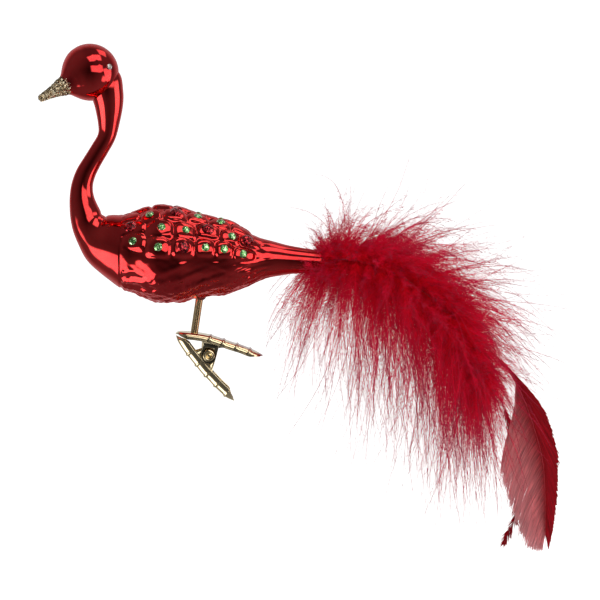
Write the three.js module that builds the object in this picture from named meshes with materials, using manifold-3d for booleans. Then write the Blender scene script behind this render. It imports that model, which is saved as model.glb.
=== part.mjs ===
// A blown-glass Christmas bird with a sprung clip below and a feather tail, in millimetres, +Z up.
// The bird faces -X. The origin is in the clip's jaw gap, where the twig lies; the twig runs along Y.
import * as THREE from "three";
import { mergeVertices } from "three/addons/utils/BufferGeometryUtils.js";
import Module from "manifold-3d";

const wasm = await Module();
wasm.setup();

// Fits
const GAP = 0.3; // between pieces that touch
const RUN = 0.4; // between pieces that turn past each other

// Glass bird
const BODY_LENGTH = 76; // from the moulded breast line to the open end of the tail tube
const BODY_RADIUS = 18.4;
const BODY_FRONT_X = -28.9;
const BODY_FRONT_Z = 35.6;
const BODY_TAIL_Z = 31.8;
const HEAD_RADIUS = 10.9;
const HEAD_RISE = 68; // head centre above the body's front axis
const HEAD_REACH = 11.4; // head centre ahead of the breast line
const GLASS_WALL = 0.8;
const BODY_SIDES = 20;
const HEAD_SIDES = 22;
const HEAD_ROWS = 14;
const BODY_RINGS = 44;
const BELLY_DEPTH = 0.89; // part of the body's radius from its axis down to the post's hole

// Beak, turned a little towards -Y and down
const BEAK_LENGTH = 13;
const BEAK_ROOT_RADIUS = 3.7;
const BEAK_TIP_RADIUS = 1.2;
const BEAK_DROP = 23.5 * (Math.PI / 180);
const BEAK_TURN = 32 * (Math.PI / 180);
const BEAK_SIDES = 16;
const GLITTER = 0.55; // thickness of the glitter coat

// Stones, flat at the back and faceted in front
const STONE_SIDES = 8;
const GREEN_RADIUS = 1.6;
const RED_RADIUS = 2.4;
const EYE_RADIUS = 1.15;
const STONE_HEIGHT = 0.62; // of its radius

// Clip
const CLIP_WIDTH = 10;
const SHEET = 0.6;
const PIVOT = new THREE.Vector3(4.6, 0, -3.6);
const UPPER_DEPTH = 1.9; // height of the upper jaw's folded sides
const LOWER_DEPTH = 2.8;
const TIP_DEPTH = 1.2; // height of a folded side at the jaw's two ends, in sheet thicknesses
const UPPER_RIBS = 4;
const LOWER_RIBS = 5;
const EAR_RADIUS = 3.2;
const EAR_BEHIND = 2.6; // the upper ear's roots, to each side of the pivot
const EAR_AHEAD = 4.2;
const LOWER_EAR_ROOTS = [[5.6, -10.6], [-1.6, -2.6]];
const RIB_RADIUS = 0.55;
const RIB_SINK = 0.12; // how far a rib's centre lies under the sheet's outer face
const RIB_PITCH = 5.3;
const UPPER_RIBS_START = 13.8; // along the jaw from its gripping tip
const LOWER_RIBS_START = 8.3;
const RIVET_RADIUS = 1.6;
const RIVET_BORE = 1.15;
const BORE_DEPTH = 1.6; // of the blind bore in each end
const RIVET_HEAD = 2.2;
const RIVET_ROLL = 0.5; // thickness of the rolled heads
const WIRE_RADIUS = 0.4;
const COIL_RADIUS = 2.5;
const COIL_TURNS = 4.5;
const COIL_START = 70 * (Math.PI / 180); // where the coil leaves the upper leg
const UPPER_LEG = [[15.2, -1.75], [10, -0.55]]; // the leg's foot and its bend, in X and Z
const LOWER_LEG = [[5.4, -9.4], [8.6, -15.2]];

// Post between the clip and the belly
const POST_RADIUS = 1.45;
const POST_WALL = 0.45;
const POST_LEAN = 8.6 * (Math.PI / 180);
const POST_FOOT_X = -1.2;
const POST_IN_BELLY = 4;
const POST_FLARE = 0.55; // height of the flared foot
const FLARE_LIP = 0.5; // how far the foot reaches under the jaw
const POST_SEAM = 0.35;
const SEAM_DEPTH = 0.8;
const GLUE_WIDTH = 0.8;
const GLUE_HEIGHT = 2.6;

// Tail
const QUILL_RADIUS = 0.5;
const PLUG_LENGTH = 9;
const PLUG_LIP = 0.6; // how far the plug stands out of the tube
const QUILL_DEPTH = 0.8; // part of the plug's length that a quill goes in
const QUILL_RING = 1.95; // radius of the ring on which the quills leave the plug
const PLUME_SPREAD = 9; // sideways, from the middle plume to its neighbours
const QUILL_LANE = 2.6; // room between two plumes, where a long feather's shaft passes
const PLUME_THICKNESS = PLUME_SPREAD - QUILL_LANE;
const PLUME_ABOVE = 18; // reach of the down over its quill
const PLUME_BELOW = 34; // and under it, where it hangs
const TAIL_REACH = 90; // from the tube's end to the long feather's outer edge
const VANE_THICKNESS = 0.9;
const PLUME_START = 0.2; // part of a plume's path where its down begins
const QUILL_END = 0.8; // part of a plume's path where its quill ends inside the down
const VANE_START = 0.56; // parts of the long feather's path where its webs begin and end
const VANE_END = 0.997;
const NARROW_BEHIND = 3.2; // the narrow feather's tip lies this far behind the long one
const NARROW_WIDTH = 2.7;
const NARROW_START = 0.67; // parts of the narrow feather's path where its vane begins and ends
const NARROW_END = 0.995;

// Colours and finishes
const GLASS_RED = { color: 0xa80a14, roughness: 0.12, metalness: 0.85 };
const GLITTER_GOLD = { color: 0xb59a6c, roughness: 0.55, metalness: 0.8 };
const PERIDOT = { color: 0x3f8a3a, roughness: 0.08, metalness: 0.1 };
const SIAM = { color: 0x4a0409, roughness: 0.08, metalness: 0.1 };
const SILVER = { color: 0xd8d8d8, roughness: 0.1, metalness: 0.6 };
const BRASS = { color: 0xcbb27a, roughness: 0.22, metalness: 1 };
const STEEL = { color: 0x8d8a84, roughness: 0.3, metalness: 1 };
const DARK_RED = { color: 0x5c0308, roughness: 0.5, metalness: 0 };
const GLUE = { color: 0x8c2a20, roughness: 0.6, metalness: 0 };
const QUILL_RED = { color: 0x8f0c1c, roughness: 0.5, metalness: 0 };
const PLUME_RED = { color: 0xa01226, roughness: 0.95, metalness: 0 };
const VANE_RED = { color: 0x86020c, roughness: 0.8, metalness: 0 };
const VANE_PINK = { color: 0xa85a60, roughness: 0.9, metalness: 0 };

const ornament = new THREE.Group();

function addPiece(name, geometry, look) {
  const mesh = new THREE.Mesh(geometry, new THREE.MeshStandardMaterial(look));
  mesh.name = name;
  ornament.add(mesh);
  return mesh;
}

const at = (x, y, z) => new THREE.Vector3(x, y, z);

// A closed three.js geometry as a solid that can be cut and joined.
function solidOf(geometry) {
  const plain = geometry.clone();
  plain.deleteAttribute("normal");
  plain.deleteAttribute("uv");
  const merged = mergeVertices(plain, 1e-4);
  return new wasm.Manifold(new wasm.Mesh({
    numProp: 3,
    vertProperties: Float32Array.from(merged.attributes.position.array),
    triVerts: Uint32Array.from(merged.index.array),
  }));
}

function geometryOf(solid) {
  const mesh = solid.getMesh();
  const geometry = new THREE.BufferGeometry();
  geometry.setAttribute("position", new THREE.BufferAttribute(mesh.vertProperties, 3));
  geometry.setIndex(new THREE.BufferAttribute(mesh.triVerts, 1));
  geometry.computeVertexNormals();
  return geometry;
}

// A tube of changing size through a row of rings: a capped cylinder whose rows of points move to the rings.
// Each ring has a centre and two arms, and arm a turned towards arm b points along the row.
function loft(rings, sides) {
  const last = rings.length - 1;
  const geometry = new THREE.CylinderGeometry(1, 1, last, sides, last);
  const points = geometry.attributes.position;
  for (let i = 0; i < points.count; i++) {
    const ring = rings[Math.round(last / 2 - points.getY(i))];
    const point = ring.centre.clone();
    point.addScaledVector(ring.a, points.getX(i));
    point.addScaledVector(ring.b, points.getZ(i));
    points.setXYZ(i, point.x, point.y, point.z);
  }
  return geometry;
}

// A turned shape whose axis runs from a place along a direction; the profile is [radius, distance] pairs.
function turned(profile, sides, place, direction) {
  const geometry = new THREE.LatheGeometry(profile.map(([r, d]) => new THREE.Vector2(r, d)), sides);
  const turn = new THREE.Quaternion().setFromUnitVectors(at(0, 1, 0), direction);
  geometry.applyQuaternion(turn);
  geometry.translate(place.x, place.y, place.z);
  return geometry;
}

// A round bar between two places, long enough to cut or join with.
function bar(from, to, radius, sides) {
  const along = to.clone().sub(from);
  const length = along.length();
  return turned([[0, 0], [radius, 0], [radius, length], [0, length]], sides, from, along.normalize());
}

// A wire or a quill: a small round section carried along a path.
function wire(path, radius, sides, steps) {
  const section = new THREE.Shape();
  for (let i = 0; i < sides; i++) {
    const angle = (i / sides) * 2 * Math.PI;
    const x = radius * Math.cos(angle);
    const y = radius * Math.sin(angle);
    if (i === 0) section.moveTo(x, y);
    else section.lineTo(x, y);
  }
  section.closePath();
  return new THREE.ExtrudeGeometry(section, { steps, extrudePath: path, bevelEnabled: false });
}

// A plate whose outline is drawn in X and Z and which is as thick as it is wide in Y, centred on y.
function plate(outline, width, y = 0) {
  const shape = new THREE.Shape(outline.map(([x, z]) => new THREE.Vector2(x, z)));
  const geometry = new THREE.ExtrudeGeometry(shape, { depth: width, bevelEnabled: false });
  geometry.rotateX(Math.PI / 2);
  geometry.translate(0, y + width / 2, 0);
  return geometry;
}

// ---------------------------------------------------------------- glass bird

const headCentre = at(BODY_FRONT_X - HEAD_REACH, 0, BODY_FRONT_Z + HEAD_RISE);
const beakDirection = at(
  -Math.cos(BEAK_DROP) * Math.cos(BEAK_TURN),
  -Math.cos(BEAK_DROP) * Math.sin(BEAK_TURN),
  -Math.sin(BEAK_DROP),
);

// The neck and breast: [ahead of the breast line, height of the ring as a part of the head's rise,
// radius as a part of the body's radius, lean of the ring in degrees]. The lean turns from a neck
// that hangs straight down to a body that lies along +X.
const NECK_RINGS = [
  [8.8, 1.03, 0.2, -50],
  [5.6, 0.97, 0.31, -72],
  [4.9, 0.89, 0.335, -80],
  [4.2, 0.81, 0.292, -84],
  [4.4, 0.706, 0.217, -94],
  [5.3, 0.638, 0.185, -112],
  [7.8, 0.572, 0.185, -119],
  [10.6, 0.504, 0.19, -119],
  [13.1, 0.437, 0.206, -113],
  [14.5, 0.37, 0.223, -99],
  [14.6, 0.303, 0.255, -90],
  [13.6, 0.235, 0.31, -88],
  [12.8, 0.172, 0.335, -66],
  [11.1, 0.12, 0.4, -43],
  [9.3, 0.074, 0.49, -24],
  [6.6, 0.045, 0.59, -10],
  [3.6, 0.023, 0.675, -4],
];

// The body: [part of the length, radius as a part of the body's radius]
const BODY_PROFILE = [
  [0, 0.76], [0.06, 0.83], [0.12, 0.93], [0.18, 1], [0.24, 1], [0.3, 0.98], [0.36, 0.905], [0.45, 0.82],
  [0.54, 0.755], [0.6, 0.652], [0.66, 0.527], [0.72, 0.413], [0.78, 0.353], [0.84, 0.3], [0.93, 0.253],
  [1, 0.228],
];

const TUBE_RADIUS = BODY_RADIUS * BODY_PROFILE[BODY_PROFILE.length - 1][1];
const TUBE_END_X = BODY_FRONT_X + BODY_LENGTH;
const axisHeight = (along) => BODY_FRONT_Z + (BODY_TAIL_Z - BODY_FRONT_Z) * along;

const birdStations = [
  ...NECK_RINGS.map(([ahead, rise, radius, lean]) => ({
    centre: at(BODY_FRONT_X - ahead, 0, BODY_FRONT_Z + rise * HEAD_RISE),
    size: at(radius * BODY_RADIUS, lean, 0),
  })),
  ...BODY_PROFILE.map(([along, radius]) => ({
    centre: at(BODY_FRONT_X + along * BODY_LENGTH, 0, axisHeight(along)),
    size: at(radius * BODY_RADIUS, 0, 0),
  })),
];
const birdSpine = new THREE.CatmullRomCurve3(birdStations.map((s) => s.centre), false, "catmullrom", 0.5);
const birdSizes = new THREE.CatmullRomCurve3(birdStations.map((s) => s.size), false, "catmullrom", 0.5);

// Rings of the bird's skin, moved in by a depth and carried on past the tube's end by a length.
function birdRings(depth, past) {
  const rings = [];
  for (let i = 0; i < BODY_RINGS; i++) {
    const part = i / (BODY_RINGS - 1);
    const size = birdSizes.getPoint(part);
    const lean = THREE.MathUtils.degToRad(size.y);
    const radius = size.x - depth;
    const centre = birdSpine.getPoint(part);
    if (i === BODY_RINGS - 1) centre.x += past;
    rings.push({ centre, a: at(Math.sin(lean) * radius, 0, -Math.cos(lean) * radius), b: at(0, radius, 0) });
  }
  return rings;
}

const postAxis = at(Math.sin(POST_LEAN), 0, Math.cos(POST_LEAN));

function makeGlassBird() {
  const headAt = (radius) => {
    const ball = new THREE.SphereGeometry(radius, HEAD_SIDES, HEAD_ROWS);
    ball.translate(headCentre.x, headCentre.y, headCentre.z);
    return solidOf(ball);
  };
  // The beak's glass cone, from inside the head to its tip
  const beakCore = (root, tip, length) => {
    const start = HEAD_RADIUS / 2;
    const shoulder = HEAD_RADIUS * 0.96;
    const profile = [[0, start], [root, start], [root, shoulder], [tip, length], [0, length]];
    return solidOf(turned(profile, BEAK_SIDES, headCentre, beakDirection));
  };
  const root = BEAK_ROOT_RADIUS - GLITTER - GAP;
  const outer = headAt(HEAD_RADIUS)
    .add(solidOf(loft(birdRings(0, 0), BODY_SIDES)))
    .add(beakCore(root, BEAK_TIP_RADIUS - GLITTER, HEAD_RADIUS + BEAK_LENGTH - GLITTER - GAP));
  const inner = headAt(HEAD_RADIUS - GLASS_WALL)
    .add(solidOf(loft(birdRings(GLASS_WALL, 1), BODY_SIDES)))
    .add(beakCore(root - GLASS_WALL, GLASS_WALL / 4, HEAD_RADIUS + BEAK_LENGTH * 0.6));
  const bellyHole = bar(postFoot, postTop, postHoleRadius, 18);
  return geometryOf(outer.subtract(inner).subtract(solidOf(bellyHole)));
}

// ---------------------------------------------------------------- clip outlines

// The upper jaw's outer face, from the gripping tip to the end of its finger lever
const UPPER_LINE = [
  [-7.9, 4.5], [-6.6, 5], [-2.6, 4.8], [0.7, 4.4], [4, 3.8], [8.6, 2.4], [13.2, 0.8], [17.3, -0.5],
  [21.6, -2.3], [25, -4.1],
];
// The lower jaw's outer face, from its gripping tip down to the end of its finger lever
const LOWER_LINE = [
  [-7.6, 3.35], [-6.7, 0.85], [-4.5, -2.5], [-2.2, -5.4], [0.1, -8.3], [2.4, -11.1], [4.6, -13.3],
  [6.8, -15.7], [9.1, -17.9], [11.4, -19.9], [14.2, -21.2],
];

// A line moved sideways, to the right of its own direction when the distance is positive.
// The two ends move by their own distance, which lets a folded side taper away at the tips.
function offsetLine(line, distance, endDistance = distance) {
  return line.map(([x, z], i) => {
    const [x0, z0] = line[Math.max(i - 1, 0)];
    const [x1, z1] = line[Math.min(i + 1, line.length - 1)];
    const length = Math.hypot(x1 - x0, z1 - z0);
    const moved = i === 0 || i === line.length - 1 ? endDistance : distance;
    return [x + ((z1 - z0) / length) * moved, z - ((x1 - x0) / length) * moved];
  });
}

// Everything on the inner side of a line, out to a far edge: what the channel's hollow is cut with.
function innerSide(line, inset, side) {
  const [xa, za] = line[0];
  const [xb, zb] = line[line.length - 1];
  const length = Math.hypot(xb - xa, zb - za);
  const far = 2 * CLIP_WIDTH * side;
  const shift = ([x, z]) => [x + ((zb - za) / length) * far, z - ((xb - xa) / length) * far];
  const edge = offsetLine(line, side * inset);
  return [...edge, shift(edge[edge.length - 1]), shift(edge[0])];
}

// The height of the upper jaw's outer face at a place along it.
function upperHeight(x) {
  const next = UPPER_LINE.findIndex(([px]) => px > x);
  const [x0, z0] = UPPER_LINE[next - 1];
  const [x1, z1] = UPPER_LINE[next];
  return z0 + ((z1 - z0) * (x - x0)) / (x1 - x0);
}

// The plan outline of a jaw: a strip with round ends, carried through the jaw across its own line.
function planSolid(line, width, inset) {
  const [xa, za] = line[0];
  const [xb, zb] = line[line.length - 1];
  const length = Math.hypot(xb - xa, zb - za);
  const radius = width / 2 - inset;
  const outline = new THREE.Shape();
  outline.absarc(length - inset - radius, 0, radius, -Math.PI / 2, Math.PI / 2, false);
  outline.absarc(inset + radius, 0, radius, Math.PI / 2, (3 * Math.PI) / 2, false);
  const depth = 2 * length;
  const geometry = new THREE.ExtrudeGeometry(outline, { depth, bevelEnabled: false, curveSegments: 8 });
  geometry.translate(0, 0, -depth / 2);
  geometry.rotateY(-Math.atan2(zb - za, xb - xa));
  geometry.translate(xa, 0, za);
  return solidOf(geometry);
}

// The room inside a folded jaw
function jawHollow(line, side, width) {
  return solidOf(plate(innerSide(line, SHEET, side), width)).intersect(planSolid(line, width, SHEET));
}

// A folded jaw: a sheet along the line with its edge turned in all round, and ribs across it.
function foldedJaw(line, side, depth, width, ribStart, ribCount) {
  const taper = side * SHEET * TIP_DEPTH;
  const outline = [...line, ...offsetLine(line, side * depth, taper).reverse()];
  let jaw = solidOf(plate(outline, width));
  for (const rib of ribs(offsetLine(line, side * RIB_SINK), ribStart, ribCount, width)) jaw = jaw.add(rib);
  return jaw.intersect(planSolid(line, width, 0)).subtract(jawHollow(line, side, width));
}

// Raised ribs across the sheet, one every pitch along the line.
function ribs(line, start, count, width) {
  const curve = new THREE.CatmullRomCurve3(line.map(([x, z]) => at(x, 0, z)), false, "catmullrom", 0.5);
  const length = curve.getLength();
  const made = [];
  for (let i = 0; i < count; i++) {
    const place = curve.getPointAt((start + i * RIB_PITCH) / length);
    const reach = at(0, width / 2, 0);
    made.push(solidOf(bar(place.clone().sub(reach), place.clone().add(reach), RIB_RADIUS, 8)));
  }
  return made;
}

// An ear that carries the pivot: an arch that hangs from two places on its jaw.
function ear(rootA, rootB, radius, y) {
  const outline = [rootA];
  const start = Math.atan2(rootA[1] - PIVOT.z, rootA[0] - PIVOT.x) + Math.PI / 2;
  let end = Math.atan2(rootB[1] - PIVOT.z, rootB[0] - PIVOT.x) - Math.PI / 2;
  if (end < start) end += 2 * Math.PI;
  const steps = 9;
  for (let i = 0; i <= steps; i++) {
    const angle = start + ((end - start) * i) / steps;
    outline.push([PIVOT.x + radius * Math.cos(angle), PIVOT.z + radius * Math.sin(angle)]);
  }
  outline.push(rootB);
  return solidOf(plate(outline, SHEET, y));
}

const pivotBar = (radius, halfLength) =>
  solidOf(bar(at(PIVOT.x, -halfLength, PIVOT.z), at(PIVOT.x, halfLength, PIVOT.z), radius, 16));

// ---------------------------------------------------------------- post

const postFoot = at(POST_FOOT_X, 0, upperHeight(POST_FOOT_X) - SHEET - POST_FLARE - GAP);
const bellyHeight = axisHeight((POST_FOOT_X - BODY_FRONT_X) / BODY_LENGTH) - BODY_RADIUS * BELLY_DEPTH;
const postLength = (bellyHeight - postFoot.z) / Math.cos(POST_LEAN) + POST_IN_BELLY;
const postTop = postFoot.clone().addScaledVector(postAxis, postLength);
const postHoleRadius = POST_RADIUS + GAP + GLUE_WIDTH + GAP;
const jawHoleRadius = POST_RADIUS + GAP;

function makePost() {
  const bore = POST_RADIUS - POST_WALL;
  const flareEnd = POST_RADIUS + GAP + FLARE_LIP;
  const profile = [
    [bore, 0], [flareEnd, 0], [flareEnd, POST_FLARE], [POST_RADIUS, POST_FLARE], [POST_RADIUS, postLength],
    [bore, postLength], [bore, 0],
  ];
  const tube = solidOf(turned(profile, 16, postFoot, postAxis));
  const seam = new THREE.BoxGeometry(POST_SEAM, 2 * SEAM_DEPTH, postLength + 2 * POST_FLARE);
  seam.rotateY(POST_LEAN);
  const middle = postFoot.clone().addScaledVector(postAxis, postLength / 2);
  seam.translate(middle.x + POST_SEAM, -POST_RADIUS, middle.z);
  return geometryOf(tube.subtract(solidOf(seam)));
}

// The bead of glue that fills the hole in the belly around the post
function makePostGlue() {
  const inner = POST_RADIUS + GAP;
  const outer = inner + GLUE_WIDTH;
  const bottom = postLength - POST_IN_BELLY;
  const top = bottom + GLUE_HEIGHT;
  const profile = [[inner, bottom], [outer, bottom], [outer, top], [inner, top], [inner, bottom]];
  return turned(profile, 16, postFoot, postAxis);
}

// ---------------------------------------------------------------- clip

const upperEarY = CLIP_WIDTH / 2 - SHEET / 2;
const lowerWidth = CLIP_WIDTH - 2 * (SHEET + RUN);
const lowerEarY = lowerWidth / 2 - SHEET / 2;

function makeUpperJaw() {
  let jaw = foldedJaw(UPPER_LINE, 1, UPPER_DEPTH, CLIP_WIDTH, UPPER_RIBS_START, UPPER_RIBS);
  const roots = [PIVOT.x - EAR_BEHIND, PIVOT.x + EAR_AHEAD];
  const [rootA, rootB] = roots.map((x) => [x, upperHeight(x) - UPPER_DEPTH + SHEET]);
  for (const y of [-upperEarY, upperEarY]) jaw = jaw.add(ear(rootA, rootB, EAR_RADIUS, y));
  jaw = jaw.subtract(pivotBar(RIVET_RADIUS + RUN / 2, CLIP_WIDTH));
  const post = bar(postFoot.clone().addScaledVector(postAxis, -UPPER_DEPTH), postTop, jawHoleRadius, 16);
  return geometryOf(jaw.subtract(solidOf(post)));
}

function makeLowerJaw() {
  let jaw = foldedJaw(LOWER_LINE, -1, LOWER_DEPTH, lowerWidth, LOWER_RIBS_START, LOWER_RIBS);
  const [rootA, rootB] = LOWER_EAR_ROOTS;
  for (const y of [-lowerEarY, lowerEarY]) jaw = jaw.add(ear(rootA, rootB, EAR_RADIUS, y));
  return geometryOf(jaw.subtract(pivotBar(RIVET_RADIUS + RUN / 2, CLIP_WIDTH)));
}

// The rivet on which the jaws turn, with a rolled head outside each ear and a blind bore in each end
function makeRivet() {
  const half = CLIP_WIDTH / 2 + GAP;
  const head = half + RIVET_ROLL;
  const floor = head - BORE_DEPTH;
  const profile = [
    [0, -floor], [RIVET_BORE, -floor], [RIVET_BORE, -head], [RIVET_HEAD, -head], [RIVET_HEAD, -half],
    [RIVET_RADIUS, -half], [RIVET_RADIUS, half], [RIVET_HEAD, half], [RIVET_HEAD, head], [RIVET_BORE, head],
    [RIVET_BORE, floor], [0, floor],
  ];
  return turned(profile, 16, PIVOT, at(0, 1, 0));
}

// The coiled spring that pushes the finger levers apart, with a leg under each of them
function makeSpring() {
  const half = lowerEarY - SHEET / 2 - RUN - WIRE_RADIUS;
  const turns = COIL_TURNS * 2 * Math.PI;
  const points = UPPER_LEG.map(([x, z]) => at(x, -half, z));
  const steps = Math.round(COIL_TURNS * 12);
  for (let i = 0; i <= steps; i++) {
    const angle = COIL_START + (turns * i) / steps;
    const y = -half + (2 * half * i) / steps;
    points.push(at(PIVOT.x + COIL_RADIUS * Math.cos(angle), y, PIVOT.z + COIL_RADIUS * Math.sin(angle)));
  }
  for (const [x, z] of LOWER_LEG) points.push(at(x, half, z));
  const path = new THREE.CatmullRomCurve3(points, false, "centripetal");
  return wire(path, WIRE_RADIUS, 6, 84);
}

// ---------------------------------------------------------------- stones

const stoneProfile = (radius) => {
  const height = radius * STONE_HEIGHT;
  return [[0, 0], [radius, 0], [radius, height * 0.3], [radius * 0.6, height], [0, height]];
};

function makeStone(radius, place, outward) {
  return turned(stoneProfile(radius), STONE_SIDES, place.clone().addScaledVector(outward, GAP), outward);
}

// The body's radius at a part of its length
const profilePoints = BODY_PROFILE.map(([along, radius]) => new THREE.Vector2(along, radius));
const profileCurve = new THREE.SplineCurve(profilePoints);
function bodyRadius(along) {
  const samples = profileCurve.getPoints(8 * BODY_PROFILE.length);
  const next = Math.max(samples.findIndex((p) => p.x >= along), 1);
  const a = samples[next - 1];
  const b = samples[next];
  return BODY_RADIUS * (a.y + ((b.y - a.y) * (along - a.x)) / (b.x - a.x));
}

// A place on the body's skin and the way out of it; up is the angle above the side, in degrees.
function onBody(along, up, side) {
  const step = 0.02;
  const radius = bodyRadius(along);
  const slope = (bodyRadius(along + step) - bodyRadius(along - step)) / (2 * step * BODY_LENGTH);
  const angle = THREE.MathUtils.degToRad(up);
  const spoke = at(0, side * Math.cos(angle), Math.sin(angle));
  const place = at(BODY_FRONT_X + along * BODY_LENGTH, 0, axisHeight(along)).addScaledVector(spoke, radius);
  const outward = spoke.clone().add(at(-slope, 0, 0)).normalize();
  return { place, outward };
}

// [colour, part of the body's length, degrees above the side], the same on both sides of the bird
const STONES = [
  ["green", 0.067, 20], ["green", 0.195, 12], ["red", 0.32, 14], ["green", 0.428, 16], ["green", 0.52, 16],
  ["green", 0.614, 11], ["red", 0.055, 43], ["green", 0.21, 37], ["green", 0.33, 37], ["red", 0.438, 45],
  ["green", 0.557, 40], ["red", 0.634, 42], ["green", 0.15, 58], ["red", 0.28, 64], ["green", 0.388, 69],
  ["green", 0.501, 67],
];

function addStones() {
  const count = { green: 0, red: 0 };
  const radii = { green: GREEN_RADIUS, red: RED_RADIUS };
  const looks = { green: PERIDOT, red: SIAM };
  for (const side of [-1, 1]) {
    for (const [colour, along, up] of STONES) {
      count[colour] += 1;
      const { place, outward } = onBody(along, up, side);
      const name = `${colour}_crystal_${String(count[colour]).padStart(2, "0")}`;
      addPiece(name, makeStone(radii[colour], place, outward), looks[colour]);
    }
  }
}

// The eyes sit a little behind the head's widest line, seen from the beak, one on each side.
function eyeDirection(side) {
  const up = at(0, 0, 1).addScaledVector(beakDirection, -beakDirection.z).normalize();
  const across = new THREE.Vector3().crossVectors(beakDirection, up).normalize().multiplyScalar(side);
  const direction = across.clone().multiplyScalar(0.95).addScaledVector(up, 0.11);
  return direction.addScaledVector(beakDirection, -0.29).normalize();
}

function addEyes() {
  for (const [name, side] of [["eye_crystal_right", 1], ["eye_crystal_left", -1]]) {
    const outward = eyeDirection(side);
    const place = headCentre.clone().addScaledVector(outward, HEAD_RADIUS);
    addPiece(name, makeStone(EYE_RADIUS, place, outward), SILVER);
  }
}

// The glitter coat over the glass beak, open where it meets the head
function makeGlitterCoat() {
  const root = HEAD_RADIUS + GAP;
  const end = HEAD_RADIUS + BEAK_LENGTH;
  const bore = BEAK_ROOT_RADIUS - GLITTER;
  const boreTip = BEAK_TIP_RADIUS - GLITTER + GAP;
  const profile = [
    [0, end - GLITTER], [boreTip, end - GLITTER], [bore, root], [BEAK_ROOT_RADIUS, root],
    [BEAK_ROOT_RADIUS * 0.74, root + BEAK_LENGTH * 0.3], [BEAK_TIP_RADIUS * 1.35, root + BEAK_LENGTH * 0.75],
    [BEAK_TIP_RADIUS, end - 0.6], [BEAK_TIP_RADIUS * 0.55, end], [0, end],
  ];
  return turned(profile, BEAK_SIDES, headCentre, beakDirection);
}

// ---------------------------------------------------------------- tail

const tubeEnd = at(TUBE_END_X, 0, BODY_TAIL_Z);
const plugRadius = TUBE_RADIUS - GLASS_WALL - GAP;

// Where a quill leaves the plug; the places are spread evenly on a ring.
function quillPlace(index) {
  const angle = Math.PI / 2 + (index * 2 * Math.PI) / 5;
  return at(0, QUILL_RING * Math.cos(angle), QUILL_RING * Math.sin(angle));
}

// A feather's path: straight out of the plug, then through places given from the tube's end.
function featherPath(index, places) {
  const seat = quillPlace(index);
  const root = tubeEnd.clone().add(seat);
  const points = [root.clone().add(at(-PLUG_LENGTH * QUILL_DEPTH, 0, 0)), root.clone().add(at(1.5, 0, 0))];
  for (const [x, y, z] of places) points.push(tubeEnd.clone().add(at(x, y, z)));
  return new THREE.CatmullRomCurve3(points, false, "centripetal");
}

const LANE_Y = PLUME_SPREAD / 2;
const reach = TAIL_REACH / 90;
const droop = (spread, lift) => [
  [14 * reach, spread * 0.55, 0.6 + lift], [32 * reach, spread * 0.9, -6 + lift * 1.8],
  [50 * reach, spread, -22 + lift * 2], [62 * reach, spread, -46 + lift * 2],
];
const plumePaths = {
  middle: featherPath(0, droop(0, 2.4)),
  near: featherPath(1, droop(-PLUME_SPREAD, 0)),
  far: featherPath(4, droop(PLUME_SPREAD, 0.6)),
};
const longPath = featherPath(3, [
  [14 * reach, LANE_Y * 0.55, -1.6], [32 * reach, LANE_Y * 0.9, -8], [56 * reach, LANE_Y, -26],
  [70 * reach, 1, -40], [75 * reach, 0, -48], [80 * reach, 0, -60], [84.5 * reach, 0, -76],
  [85.6 * reach, 0, -92], [85.8 * reach, 0, -111],
]);
const narrowPath = featherPath(2, [
  [14 * reach, -LANE_Y * 0.55, -1.6], [32 * reach, -LANE_Y * 0.9, -8], [50 * reach, -LANE_Y, -25],
  [64 * reach, -1, -44], [71 * reach, NARROW_BEHIND, -60], [75.5 * reach, NARROW_BEHIND, -80],
  [75 * reach, NARROW_BEHIND, -96], [70 * reach, NARROW_BEHIND, -108.5],
]);

// The part of a path between two of its places, as a path of its own
function stretch(path, from, to, count) {
  const points = [];
  for (let i = 0; i <= count; i++) points.push(path.getPointAt(from + ((to - from) * i) / count));
  return new THREE.CatmullRomCurve3(points, false, "centripetal");
}

// The down of a plume: a lens-shaped body around the last part of its quill, with a channel for the quill.
function makePlume(path) {
  const rings = [];
  const count = 12;
  for (let i = 0; i <= count; i++) {
    const part = i / count;
    const centre = path.getPointAt(PLUME_START + (1 - PLUME_START) * part);
    const along = path.getTangentAt(PLUME_START + (1 - PLUME_START) * part);
    const swell = Math.sin(Math.PI * (0.06 + part * 0.9)) ** 0.75;
    const b = at(0, (PLUME_THICKNESS / 2) * swell, 0);
    const a = new THREE.Vector3().crossVectors(b, along).normalize();
    centre.addScaledVector(a, (swell * (PLUME_BELOW - PLUME_ABOVE)) / 2);
    a.multiplyScalar((swell * (PLUME_BELOW + PLUME_ABOVE)) / 2);
    rings.push({ centre, a, b });
  }
  const channelPath = stretch(path, PLUME_START - 0.04, QUILL_END + 0.01, 14);
  const groove = solidOf(wire(channelPath, QUILL_RADIUS + GAP, 6, 16));
  return geometryOf(solidOf(loft(rings, 10)).subtract(groove));
}

function makePlug() {
  const start = at(tubeEnd.x - PLUG_LENGTH, 0, tubeEnd.z);
  let plug = solidOf(bar(start, tubeEnd.clone().add(at(PLUG_LIP, 0, 0)), plugRadius, BODY_SIDES));
  for (let i = 0; i < 5; i++) {
    const seat = quillPlace(i);
    const from = tubeEnd.clone().add(seat).add(at(-PLUG_LENGTH * QUILL_DEPTH - GAP, 0, 0));
    const to = tubeEnd.clone().add(seat).add(at(2 * PLUG_LIP, 0, 0));
    plug = plug.subtract(solidOf(bar(from, to, QUILL_RADIUS + GAP, 8)));
  }
  return geometryOf(plug);
}

// Places along a path, moved sideways in X and Z by a distance, to its right when that is positive.
function pathEdge(path, from, to, count, distance) {
  const places = [];
  for (let i = 0; i <= count; i++) {
    const point = path.getPointAt(from + ((to - from) * i) / count);
    places.push([point.x, point.z]);
  }
  return offsetLine(places, distance);
}

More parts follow.
